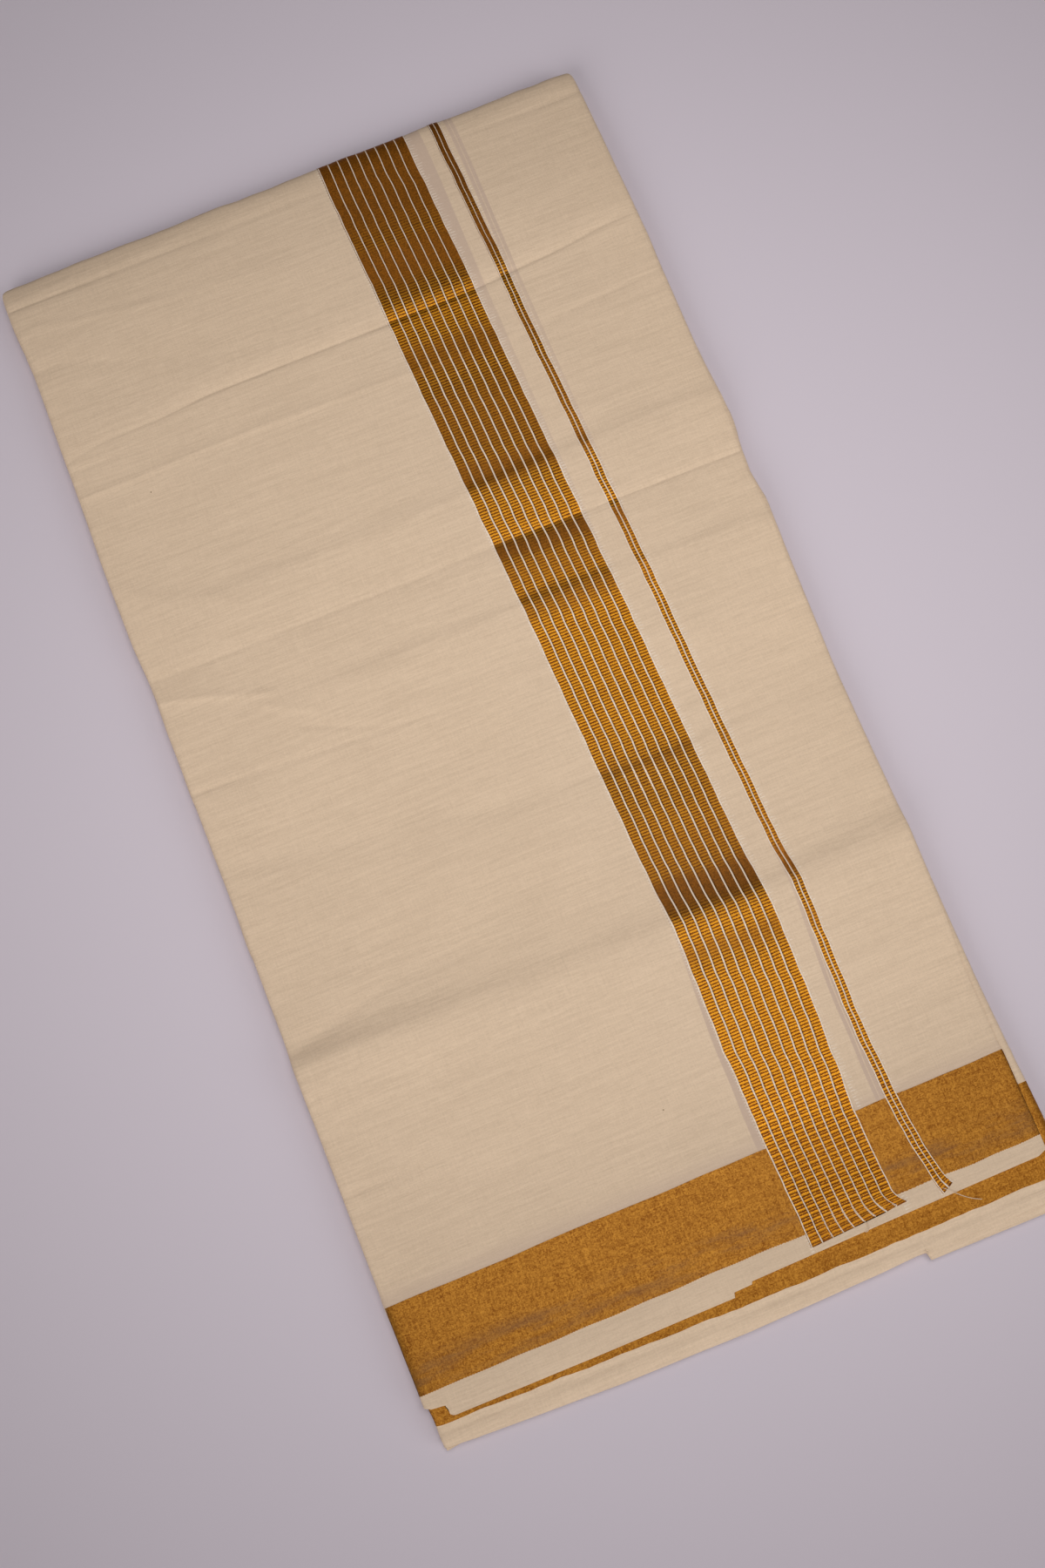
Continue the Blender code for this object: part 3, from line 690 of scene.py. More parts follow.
# %% Material: top cotton
GHOST = (0.525, 0.385, 0.300)
TICK = (0.86, 0.74, 0.62)
BORDER_WIDE = 47.0
TICK_PITCH = RIB_PITCH
TICK_SHARE = 0.5
# Where the narrow line runs, counted in millimetres from the border's left edge.
LINE_START, LINE_END, LINE_STRIPE = 61.0, 65.2, 1.9


def soft_box(tree, value, low, high, blur):
    """1 between low and high, 0 outside."""
    rise = rescale(tree, value, low - blur, low + blur, 0, 1)
    fall = rescale(tree, value, high - blur, high + blur, 1, 0)
    return maths(tree, "MULTIPLY", rise, fall)


top_cotton, tree, shader = new_material("top cotton", COTTON_ROUGH, 0.0)
place = node(tree, "ShaderNodeTexCoord").outputs["Object"]
colour, height = cotton_colour(tree, place, 1.0)
# The cotton is painted darker by place: painted shade towards the bundle's ends and along some folds.
colour = scaled(tree, colour, number_on_mesh(tree, "painted_shade"))
_, ghost_parts = map_on_mesh(tree, "Ghost")
wide_ghost = soft_box(tree, ghost_parts[0], 0.0, BORDER_WIDE, 0.35)
line_one = soft_box(tree, ghost_parts[0], LINE_START, LINE_START + LINE_STRIPE, 0.3)
line_two = soft_box(tree, ghost_parts[0], LINE_END - LINE_STRIPE, LINE_END, 0.3)
ghost = maths(tree, "MAXIMUM", wide_ghost, maths(tree, "MAXIMUM", line_one, line_two))
ghost = maths(tree, "MULTIPLY", ghost, number_on_mesh(tree, "ghost_strength"))
colour = blend_colours(tree, ghost, colour, GHOST)
print("line, mm from the border's left edge:", LINE_START, "to", LINE_END)

# %% [markdown]
# The ticks begin at a stripe's edge and end raggedly, so their reach is a noise along the cloth,
# and a comb with the pitch of the ribs splits them. They are woven a little proud of the cotton.

# %% Ticks beside the gold
weave_map, weave_parts = map_on_mesh(tree, "Weave")
tick_noise = noise(tree, stretch(tree, weave_map, 0.35, 2.4), detail=2)
tick_reach = rescale(tree, tick_noise, 0.3, 0.7, 0.6, 4.4)


def ticks_right_of(edge):
    """1 in the ticks to the right of an edge, in millimetres from the border's left edge."""
    beside = maths(tree, "SUBTRACT", weave_parts[0], edge)
    ragged = rescale(tree, maths(tree, "SUBTRACT", beside, tick_reach), -1.5, 0.2, 1, 0)
    return maths(tree, "MULTIPLY", ragged, rescale(tree, beside, -0.2, 0.2, 0, 1))


left_ticks = soft_box(tree, weave_parts[0], -1.3, 0.2, 0.5)
ticks = maths(tree, "MAXIMUM", ticks_right_of(BORDER_WIDE), ticks_right_of(LINE_END))
ticks = maths(tree, "MAXIMUM", left_ticks, ticks)
comb = maths(tree, "SINE", maths(tree, "MULTIPLY", weave_parts[1], 2 * math.pi / TICK_PITCH))
comb = rescale(tree, comb, -0.2, 0.7, 0.0, 1.0)
ticks = maths(tree, "MULTIPLY", maths(tree, "MULTIPLY", ticks, comb), TICK_SHARE)
# By the end band the cloth is greyer.
by_the_band = soft_box(tree, weave_parts[1], -262.0, -231.0, 7.0)
colour = blend_colours(tree, maths(tree, "MULTIPLY", by_the_band, 0.55), colour, GHOST)
colour = blend_colours(tree, ticks, colour, TICK)
tree.links.new(colour, shader["Base Color"])
height = maths(tree, "MULTIPLY_ADD", ticks, 0.4, height)
tree.links.new(bump(tree, height, 0.35, COTTON_RELIEF), shader["Normal"])
cotton_sheen(shader)
print("material:", top_cotton.name)

# %% [markdown]
# ## Material: zari border
# The stripes are metal and the cords between them are cotton, so the cord mask switches the
# metal off as well as changing the colour. Where the iron has pressed the gold flat its ribs
# hardly show, and there its colour is a darker brown, a painted shade. A number on the mesh says
# where that is, and another brightens or darkens the gold by place: painted highlight and painted shade.
#
# Only part of the thread acts as bare metal. A fully metallic shader would mirror the dark room
# and turn black when it is seen from the side, which a thread with its round core never does.

# %% Material: zari border
# The first two colours are lit and shaded copies of the gold: painted highlight and painted shade.
ZARI_LIT = (0.480, 0.198, 0.0090)
ZARI_SHADED = (0.090, 0.019, 0.001)
# A darker flat gold for pressed places: a painted shade.
ZARI_PRESSED_SHADE = (0.270, 0.090, 0.0075)
CORD_WHITE = (0.90, 0.77, 0.64)
CORD_GREY = (0.70, 0.57, 0.45)
ZARI_METAL, ZARI_ROUGH = 0.60, 0.48
ZARI_RELIEF = 0.00012


def zari_material(name, cord_share, stripe_width):
    """Ribbed gold with white cords. The share is the cord's part of a stripe, the width is in mm."""
    made, tree, shader = new_material(name, ZARI_ROUGH, ZARI_METAL)
    shader["Specular IOR Level"].default_value = 0.12
    stripe_map, _ = map_on_mesh(tree, "Stripes")
    given = {"Map": stripe_map, "Cord share": cord_share, "Stripe width": stripe_width}
    pattern = place_group(tree, ribs, given)
    place = node(tree, "ShaderNodeTexCoord").outputs["Object"]
    facets = place_group(tree, grain, {"Place": place, "Facet": 0.00042})
    pressed_and_shaded = number_on_mesh(tree, "pressed_and_shaded")
    open_threads = maths(tree, "SUBTRACT", 1.0, pressed_and_shaded)
    # Rib crests, the thread's twist and the facets' glints are painted lighter and the gaps between ribs
    # darker: painted highlight and painted shade.
    lit = maths(tree, "MULTIPLY_ADD", pattern["Twist"], 0.16, pattern["Rib"])
    lit = maths(tree, "MULTIPLY_ADD", facets["Glint"], 0.75, lit)
    lit = rescale(tree, lit, 0.05, 0.75, 0, 1)
    gold = blend_colours(tree, lit, ZARI_SHADED, ZARI_LIT)
    # Where pressed, the gold takes a darker flat colour instead: a painted shade.
    pressed_shade = scaled(tree, ZARI_PRESSED_SHADE, rescale(tree, facets["Glint"], -0.3, 0.3, 0.7, 1.3))
    # The gold is scaled by a painted brightness that changes along the border: painted highlight and painted
    # shade.
    gold = scaled(tree, blend_colours(tree, pressed_and_shaded, gold, pressed_shade), number_on_mesh(tree, "painted_shine"))
    # The cords are greyer at random and where the gold is pressed.
    fuzz = noise(tree, stretch(tree, stripe_map, 6.0, 0.8), detail=2)
    unpressed = maths(tree, "MULTIPLY_ADD", pressed_and_shaded, -0.9, 1.0)
    cord_whiteness = maths(tree, "MULTIPLY", rescale(tree, fuzz, 0.3, 0.7, 0, 1), unpressed)
    cord_white = blend_colours(tree, cord_whiteness, CORD_GREY, CORD_WHITE)
    tree.links.new(blend_colours(tree, pattern["Cord"], gold, cord_white), shader["Base Color"])
    tree.links.new(maths(tree, "MULTIPLY_ADD", pattern["Cord"], -ZARI_METAL, ZARI_METAL), shader["Metallic"])
    rough = maths(tree, "MULTIPLY_ADD", pressed_and_shaded, 0.04, ZARI_ROUGH)
    tree.links.new(maths(tree, "MULTIPLY_ADD", pattern["Cord"], 0.4, rough), shader["Roughness"])
    height = maths(tree, "MULTIPLY", maths(tree, "MULTIPLY", pattern["Rib"], open_threads), 0.8)
    height = maths(tree, "MULTIPLY_ADD", facets["Height"], 0.5, height)
    tree.links.new(bump(tree, height, 0.5, ZARI_RELIEF), shader["Normal"])
    return made


border_zari = zari_material("zari border", 0.136, 4.4)
line_zari = zari_material("zari line", 0.235, 2.0)
print("materials:", border_zari.name, line_zari.name)

# %% [markdown]
# ## Material: gold end band
# The end bands are woven flat, without ribs, so they look like matte brown-gold paper with a
# fine grain. Handling leaves them darker in smudges near their outer edge.

# %% Material: gold end band
BAND_SHADE, BAND_LIGHT = (0.165, 0.043, 0.000), (0.510, 0.227, 0.029)
# The second colour here is a painted shade for the bands' side ends.
SMUDGE, BAND_SIDE_SHADE = (0.18, 0.085, 0.035), (0.070, 0.024, 0.008)
band_gold, tree, shader = new_material("gold end band", 0.55, 0.62)
shader["Specular IOR Level"].default_value = 0.2
place = node(tree, "ShaderNodeTexCoord").outputs["Object"]
facets = place_group(tree, grain, {"Place": place, "Facet": 0.0006})
coarse = place_group(tree, grain, {"Place": place, "Facet": 0.0013})
patches = place_group(tree, mottle, {"Place": place, "Size": 0.02})
threads = place_group(tree, weave, {"Place": place, "Streaks": 1.0})
total = maths(tree, "MULTIPLY_ADD", coarse["Glint"], 0.30, facets["Glint"])
total = maths(tree, "MULTIPLY_ADD", patches["Shade"], 0.08, total)
total = maths(tree, "MULTIPLY_ADD", threads["Shade"], 1.0, total)
stripes = noise(tree, stretch(tree, place, 1000, 45, 45), detail=2)
total = maths(tree, "MULTIPLY_ADD", maths(tree, "SUBTRACT", stripes, 0.5), 0.5, total)
colour = blend_colours(tree, rescale(tree, total, -0.75, 0.75, 0, 1), BAND_SHADE, BAND_LIGHT)
smudge_map, smudge_parts = map_on_mesh(tree, "Weave")
smudge_noise = noise(tree, stretch(tree, smudge_map, 0.022, 0.13), detail=4, roughness=0.65)
smudge = maths(tree, "MULTIPLY", rescale(tree, smudge_noise, 0.42, 0.66, 0, 1),
               soft_box(tree, smudge_parts[1], 2.0, 16.0, 5.0))
colour = blend_colours(tree, maths(tree, "MULTIPLY", smudge, 0.55), colour, SMUDGE)
# The colour is scaled by a painted brightness: a painted highlight on the second band, 1 on the others.
colour = scaled(tree, colour, number_on_mesh(tree, "painted_shine"))
# Painted shade along the bands' side ends, where they meet the woven strips and roll over the cloth's sides.
edge = maths(tree, "MULTIPLY", number_on_mesh(tree, "painted_edge_shade"), 0.8)
colour = blend_colours(tree, edge, colour, BAND_SIDE_SHADE)
tree.links.new(colour, shader["Base Color"])
tree.links.new(bump(tree, facets["Height"], 0.5, ZARI_RELIEF), shader["Normal"])
print("material:", band_gold.name)

# %% [markdown]
# ## The top cloth
# One ply makes all that shows from above: it starts at its cut edge over the open end, runs over
# the creases to the far end, turns down round the fold, and comes back underneath as the face
# that the bundle lies on. It is one sheet here too, so no join can show at the fold.
#
# Its rows follow the creases and lie closer together there, which keeps a thin crease crisp
# without making the whole sheet heavy.

# %% The top cloth's rows
# x, and how far the cut edge stays short of the panel's nearest point
CUT_EDGE = (
    (-HALF_WIDTH, 8.6), (-157.2, 7.0), (-150.4, 6.3), (-150.0, 1.9), (-148.8, 0.9), (-147.4, 0.6),
    (-75.0, 0.4), (-7.4, 0.8), (-6.8, 3.2), (2.2, 3.5), (2.8, 4.8), (76.0, 6.2), (120.0, 6.8),
    (154.0, 7.2), (HALF_WIDTH, 9.0),
)
# y at the left, y at the right, and the spacing of the rows from there on
ROW_BANDS = (
    (-279.0, -279.0, 3.2), (-235.0, -234.0, 3.2), (-186.0, -165.0, 1.6), (-176.0, -155.0, 3.0),
    (-130.0, -132.0, 1.5), (-98.0, -100.0, 3.0), (-45.0, -50.0, 1.9), (18.0, 12.0, 0.9),
    (28.0, 22.0, 0.8), (80.0, 82.0, 0.5), (88.0, 89.0, 1.7), (118.0, 124.0, 3.0), (180.0, 184.0, 0.8),
    (188.0, 193.0, 1.6), (200.0, 211.0, 0.5), (212.0, 224.0, 2.0), (240.0, 250.0, 1.6),
    (252.0, 260.0, 1.3), (282.0, 284.0, 1.5), (289.0, 290.0, 0.55),
)
FOLD_START_LEFT = FAR_LEFT - FOLD_DEPTH
FOLD_START_RIGHT = FAR_RIGHT - FOLD_DEPTH
print("rows change their spacing at", len(ROW_BANDS), "places")

# %% [markdown]
# At the far end the cloth turns down round the fold, a little squarer than an ellipse, since the
# bundle has been pressed. Its side rolls fade out on the way down.

# %% The far fold
FOLD_STEPS = 18
# Below 1 the turn is fuller than an ellipse: flat for longer, then quickly round.
FOLD_SQUARE = 0.70
UNDER_NEAR_LEFT, UNDER_NEAR_RIGHT = -300.0, -305.0
UNDER_STEP = 20.0
# The cloth comes back underneath this much narrower, as a share of its width.
UNDER_NARROWER = 0.015


def row_places(bands, end):
    """y at the left and right of every row between the bands, ending at end."""
    rows = []
    for (left, right, step), (next_left, next_right, *_) in zip(bands, bands[1:] + (end,)):
        count = max(1, round((next_left - left) / step))
        for share in np.arange(count) / count:
            rows.append((left + share * (next_left - left), right + share * (next_right - right)))
    return rows


def sheet_columns(steps, edge):
    """x places across a sheet: its side rolls, the corners of its edge, and even steps between."""
    rolls = [HALF_WIDTH - inset for inset, _ in SIDE_ROLL]
    fixed = sorted({*rolls, *(-roll for roll in rolls), *(row[0] for row in edge)})
    places = []
    for left, following in zip(fixed, fixed[1:]):
        count = max(1, round((following - left) / read(steps, (left + following) / 2)))
        places += list(left + (following - left) * np.arange(count) / count)
    return np.array(places + [HALF_WIDTH])


def fold_turn(x, angle, level):
    """A point row on the far fold, level millimetres outside the top sheet's outer face."""
    turn = math.radians(angle)
    outward = abs(math.cos(turn)) ** FOLD_SQUARE
    upward = math.copysign(abs(math.sin(turn)) ** FOLD_SQUARE, math.sin(turn))
    start = across(FOLD_START_LEFT, FOLD_START_RIGHT, x)
    upper = 0.5 * (1 + upward)
    reach = level - side_drop(x) * (0.35 + 0.65 * upper)
    y = start + (FOLD_DEPTH + reach) * outward + 0.5 * outward * swell_slant(x * 1.7)
    z = FOLD_HEIGHT + (FOLD_HEIGHT + reach) * upward + upper ** 3 * lift(x, y)
    return np.stack([placed(x * (1 - UNDER_NARROWER * (1 - upper)), y), y, z], axis=-1)


def under_height(x):
    """The bottom face lies on the floor and turns up a little at its sides."""
    return 0.02 + 0.35 * side_drop(x)


print("far fold starts at y, mm:", FOLD_START_LEFT, FOLD_START_RIGHT)

# %% [markdown]
# The sheet's outer grid is built from the cut edge to the far fold, round it, and back. Near the
# cut edge the rows bend to follow it, so that its small steps stay sharp.

# %% The top cloth's grid
# Where the rows lie between the cut edge and the first row band.
EDGE_SHARES = (0.0, 0.06, 0.2, 0.45, 0.72)


def top_grid(x):
    """The top cloth's outer face, row by row."""
    cut_edge = TOP_NEAR + read(CUT_EDGE, x)
    band_foot = across(ROW_BANDS[0][0], ROW_BANDS[0][1], x)
    rows = []
    for share in EDGE_SHARES:
        y = cut_edge * (1 - share) + band_foot * share
        rows.append(on_stack(x, y))
    for left, right in row_places(ROW_BANDS, (FOLD_START_LEFT, FOLD_START_RIGHT)):
        y = across(left, right, x)
        rows.append(on_stack(x, y))
    top_rows = len(rows)
    for step in range(FOLD_STEPS + 1):
        rows.append(fold_turn(x, 90 - 180 * step / FOLD_STEPS, 0.0))
    left_run = FOLD_START_LEFT - UNDER_NEAR_LEFT
    right_run = FOLD_START_RIGHT - UNDER_NEAR_RIGHT
    for share in np.linspace(0, 1, round(left_run / UNDER_STEP) + 1)[1:]:
        y = across(FOLD_START_LEFT - share * left_run, FOLD_START_RIGHT - share * right_run, x)
        under_x = placed(x * (1 - UNDER_NARROWER), y, STACK_LEFT, STACK_RIGHT)
        rows.append(np.stack([under_x, y, under_height(x)], axis=-1))
    return np.array(rows), top_rows


# x, column spacing: closer at the left, where the slanting wrinkles are
COLUMN_STEPS = ((-76.0, 2.3), (-74.0, 3.8))
top_x = sheet_columns(COLUMN_STEPS, CUT_EDGE)
top_outer, top_rows = top_grid(top_x)
print("top cloth grid:", top_outer.shape[:2], "rows on top:", top_rows)

# %% [markdown]
# The border's route is needed twice: for the gold itself, and on the cotton for the shadow of
# the ply below. That ply's border lies a few millimetres to one side, more so near the ends,
# because the bundle wasn't folded perfectly true.

# %% Routes of the border and the line
# y, x of the left edge, width
BORDER_ROUTE = (
    (-284, 34.9, 44.8), (-262, 34.4, 44.0), (-232, 33.2, 44.2), (-215, 32.7, 46.0), (-200, 32.8, 46.4),
    (-185, 32.3, 47.9), (-140, 32.6, 47.9), (-122, 32.8, 47.4), (-100, 31.3, 46.9), (-80, 30.3, 46.8),
    (-40, 28.6, 46.8), (-20, 27.8, 46.8), (40, 25.7, 46.8), (80, 23.8, 46.7), (160, 20.1, 46.7),
    (220, 17.8, 46.6), (280, 15.7, 46.6), (303, 14.4, 46.1),
)
LINE_ROUTE = (
    (-284, 101.9, 4.6), (-280, 100.5, 4.6), (-272, 99.1, 4.5), (-260, 97.1, 4.5), (-245, 95.3, 4.5),
    (-232, 94.5, 4.5), (-200, 93.5, 4.5), (-140, 94.0, 4.5), (-122, 94.1, 4.5), (-100, 91.9, 4.5),
    (-60, 90.2, 4.5), (-40, 89.2, 4.5), (0, 87.9, 4.5), (40, 86.8, 4.5), (80, 85.0, 4.5),
    (160, 81.6, 4.4), (200, 79.9, 4.3), (260, 78.0, 4.3), (280, 77.3, 4.3), (303, 75.3, 4.2),
)
# y, and how far to the right the ply below has its own border
GHOST_SHIFT = (
    (-290.0, -4.6), (-228.0, -4.6), (-175.0, -3.6), (-130.0, -1.4), (-60.0, -0.6), (0.0, 0.3),
    (60.0, 1.4), (120.0, 2.8), (212.0, 5.4), (300.0, 8.6),
)
GHOST_STRENGTH = (
    (-300.0, 0.0), (-238.0, 0.0), (-232.0, 0.75), (-170.0, 0.75), (-120.0, 0.40), (0.0, 0.15),
    (60.0, 0.35), (130.0, 0.40), (205.0, 0.50), (262.0, 0.75), (300.0, 0.70),
)

# y, painted shade of the cotton at the left, at the right: it is painted darker towards both ends and along
# some folds
PAINTED_SHADE_BY_Y = (
    (-292, 0.97, 0.96), (-230, 0.98, 0.95), (-190, 1.01, 1.01), (-145, 1.01, 1.0), (-118, 0.97, 0.95),
    (-96, 0.97, 0.96), (-72, 1.0, 0.96), (-40, 0.98, 0.95), (-24, 0.97, 0.98), (0, 1.0, 1.0),
    (48, 1.0, 0.95), (85, 0.99, 0.99), (120, 0.98, 0.95), (190, 0.99, 0.96), (225, 0.98, 0.99),
    (245, 1.0, 0.96), (268, 0.96, 0.90), (292, 0.92, 0.90), (312, 0.95, 0.92),
)

flat_y = np.concatenate([top_outer[:, :, 1], top_outer[:, :, 1]]).ravel()
flat_x = np.concatenate([top_outer[:, :, 0], top_outer[:, :, 0]]).ravel()
row_number = np.tile(np.repeat(np.arange(len(top_outer)), len(top_x)), 2)
from_border = flat_x - read(BORDER_ROUTE, flat_y)
print("points of the top cloth:", len(flat_y))

# %% [markdown]
# Now the sheet is made. It stands for two solids: the top panel and the panel underneath.

# %% The top cloth
points, faces = sheet_parts(top_outer)
top_cloth = new_piece("top_cloth", points, faces, top_cotton)
add_map(top_cloth, "Weave", np.stack([from_border, flat_y], axis=1))
add_map(top_cloth, "Ghost", np.stack([from_border - read(GHOST_SHIFT, flat_y), flat_y], axis=1))
on_top = row_number < top_rows + FOLD_STEPS // 2
add_number(top_cloth, "ghost_strength", np.where(on_top, read(GHOST_STRENGTH, flat_y), 0.0))
# A painted shade for each point, read from the table and across from left to right.
painted_shade = across(read(PAINTED_SHADE_BY_Y, flat_y, 1), read(PAINTED_SHADE_BY_Y, flat_y, 2), np.clip(flat_x, -HALF_WIDTH, HALF_WIDTH))
add_number(top_cloth, "painted_shade", np.where(on_top, painted_shade, 1.0))
add_lanes(top_cloth, *top_outer.shape[:2], 2)
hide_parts("top_panel", "under_panel")
print("top cloth faces:", len(top_cloth.data.polygons))

# %% [markdown]
# ## The second cloth
# The ply below ends about 15 mm further out. Its own gold band and a strip of cream beyond it
# show past the top cloth's cut edge, and its side peeps out at the near right. Most of it is
# covered, so its rows are far apart there.

# %% The second cloth
SECOND_DEPTH = 0.75
# x, and how far the cut edge stays short of the panel's nearest point
SECOND_CUT = (
    (-HALF_WIDTH, 7.0), (-135.0, 5.6), (-71.0, 3.0), (-6.0, 2.4), (61.0, 4.0), (83.4, 5.2), (85.0, 0.6),
    (120.0, 0.3), (HALF_WIDTH, 0.0),
)
SECOND_FOOT = (
    (-HALF_WIDTH, -293.4), (-75.0, -295.2), (0.0, -296.7), (75.0, -296.6), (HALF_WIDTH, -296.0),
)
SECOND_BANDS = (
    (-247.0, -247.0, 6.0), (-235.0, -234.0, 8.0), (-148.0, -150.0, 5.0), (-90.0, -95.0, 9.0),
    (60.0, 60.0, 3.0), (118.0, 118.0, 8.0), (180.0, 182.0, 4.0), (235.0, 242.0, 8.0),
)
# y from the foot of the gold band, lift: a soft dip and a rounded rim
RIM_SHAPE = (
    (-13.0, -1.8), (-11.5, -0.9), (-9.5, -0.15), (-7.0, 0.25), (-5.2, 0.05), (-3.8, -0.45), (-2.2, -0.40),
    (0.0, 0.0), (20.0, 0.0),
)


# Rows from the cut edge to the gold band, rows under the band, and y where the band ends.
SECOND_EDGE_ROWS, SECOND_BAND_ROWS, SECOND_BAND_HEAD = 14, 25, -251.0


def second_foot(x):
    """y of the second gold band's outer edge."""
    return read(SECOND_FOOT, x) + 0.4 * swell_slant(3 * x)


def second_height(x, y):
    rim = read(RIM_SHAPE, y - second_foot(x)) * (1 + 0.30 * swell_slant(2.2 * x))
    return stack_height(x, y, -SECOND_DEPTH, drop=side_drop(x)) + rim


def second_point(x, y):
    return np.stack([placed(x, y, STACK_LEFT, STACK_RIGHT), y, second_height(x, y)], axis=-1)


def second_grid(x):
    """The second cloth's outer face, and the number of the rows that carry its gold band."""
    start = SECOND_NEAR + read(SECOND_CUT, x)
    foot = second_foot(x)
    rows = []
    for share in np.linspace(0, 1, SECOND_EDGE_ROWS + 1)[:-1]:
        rows.append(second_point(x, start * (1 - share) + foot * share))
    first = len(rows)
    for share in np.linspace(0, 1, SECOND_BAND_ROWS):
        rows.append(second_point(x, foot * (1 - share) + SECOND_BAND_HEAD * share))
    last = len(rows)
    for left, right in row_places(SECOND_BANDS, (286.0, 290.0)):
        rows.append(second_point(x, across(left, right, x)))
    return np.array(rows), first, last


second_x = sheet_columns(((0.0, 2.75),), SECOND_CUT)
second_outer, band_first, band_last = second_grid(second_x)
points, faces = sheet_parts(second_outer)
second_cloth = new_piece("second_cloth", points, faces, cotton)
add_lanes(second_cloth, *second_outer.shape[:2], 1)
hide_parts("second_panel")
print("second cloth faces:", len(second_cloth.data.polygons))

# %% [markdown]
# ## The inner plies
# The rest of the bundle is five long leaves, each of two plies joined by a fold at the sides.
# Every leaf runs along the top half, turns round inside the far fold and comes back below, so
# one leaf shows as two rounded edges at each side, and as two open ends at the near end. Their
# sides and ends don't line up, because nobody folds that exactly.

# %% The inner plies
LEAVES = 5
LEAF_CENTRE = 5.50
LEAF_PITCH = 1.03
LEAF_THICK = 0.92
# The leaves' side folds lie this far inside the panel's sides.
LEAF_INSET = 0.9
SIDE_POINTS = 5
TOP_RINGS, TURN_RINGS, BOTTOM_RINGS = 116, 13, 90
# Shares of a leaf's width, closer together near both sides, where it curves.
LEAF_COLUMNS = (
    0.0, 0.004, 0.01, 0.022, 0.05, *np.linspace(0.12, 0.88, 12), 0.95, 0.978, 0.99, 0.996, 1.0,
)


def leaf_rows():
    """A leaf's rows: shares of the top run, degrees of the far turn, shares of the bottom run."""
    rows = [("top", share) for share in np.linspace(0, 1, TOP_RINGS)]
    rows += [("turn", angle) for angle in np.linspace(90, -90, TURN_RINGS + 2)[1:-1]]
    return rows + [("bottom", share) for share in np.linspace(1, 0, BOTTOM_RINGS)]


print("leaves:", LEAVES, "plies:", 2 * 2 * LEAVES)

# %% [markdown]
# A leaf's section is a flat loop: across its outer face, round the right fold, back across its
# inner face and round the left fold. The loop is swept along the route, and each near end gets a
# dark slot between its two plies.

# %% The inner plies' sections
def leaf_ring(radius, sides, kind, value, near_y):
    """One loop of points round a leaf. sides says how far its left and right sides stick out."""
    half_left, half_right = (HALF_WIDTH - LEAF_INSET + out for out in sides)
    flat = np.array(LEAF_COLUMNS)
    outer_x = -half_left + flat * (half_left + half_right)
    half_thick = LEAF_THICK / 2
    bulge = np.radians(np.linspace(90, -90, SIDE_POINTS + 2)[1:-1])
    x = np.concatenate([outer_x, half_right + half_thick * np.cos(bulge), outer_x[::-1],
                        -half_left - half_thick * np.cos(bulge[::-1])])
    away = np.concatenate([np.full(len(flat), half_thick), half_thick * np.sin(bulge),
                           np.full(len(flat), -half_thick), half_thick * np.sin(bulge[::-1])])
    squeeze = 1 - side_drop(x) / (LEAF_CENTRE + 0.4)
    reach = (radius + away) * squeeze
    fold_start = across(FOLD_START_LEFT, FOLD_START_RIGHT, x)
    if kind == "turn":
        angle = math.radians(value)
        deep = FOLD_DEPTH * radius / FOLD_HEIGHT - radius
        y = fold_start + deep * math.cos(angle) + reach * math.cos(angle)
        z = LEAF_CENTRE + reach * math.sin(angle)
    else:
        y = near_y(x) + value * (fold_start - near_y(x))
        side = 1 if kind == "top" else -1
        z = (LEAF_CENTRE + side * reach) * near_press(y) * (1 + lift(x, y) / PANEL_TOP)
    return np.stack([placed(x, y, STACK_LEFT, STACK_RIGHT), y, z], axis=-1)


SLOT_DEPTH = 4.0
SLOT_SHARE = 0.45


def end_loops(ring, inward):
    """A slot in a leaf's open end: the same loop made thinner, then moved in, ready to be capped."""
    columns = (len(ring) - 2 * SIDE_POINTS) // 2
    middle = ring.copy()
    outer = ring[:columns]
    inner = ring[columns + SIDE_POINTS:2 * columns + SIDE_POINTS][::-1]
    centre = (outer + inner) / 2
    thinner_inner = centre + (inner - centre) * SLOT_SHARE
    middle[:columns] = centre + (outer - centre) * SLOT_SHARE
    middle[columns + SIDE_POINTS:2 * columns + SIDE_POINTS] = thinner_inner[::-1]
    deeper = middle.copy()
    deeper[:, 1] += inward
    return middle, deeper


print("columns across a leaf:", len(LEAF_COLUMNS))

# %% [markdown]
# Each leaf gets its own seeded waves, so that it drifts in and out at the sides by up to a
# millimetre, and its own two ends. The five leaves are joined in one mesh.

# %% Sweep and join the leaves
# near end of the top run and of the bottom run: y at the left, y at the right
LEAF_ENDS = (
    ((-301.0, -306.0), (-303.0, -299.0)),
    ((-305.5, -303.0), (-299.0, -305.0)),
    ((-300.0, -308.0), (-304.0, -306.5)),
    ((-304.5, -306.5), (-301.0, -302.0)),
    ((-302.5, -307.5), (-302.0, -306.0)),
)
# Numbers that place a leaf's two runs on its waves, far enough apart that they don't match.
RUN_PLACES, LOWER_PLACES = 600, 5000


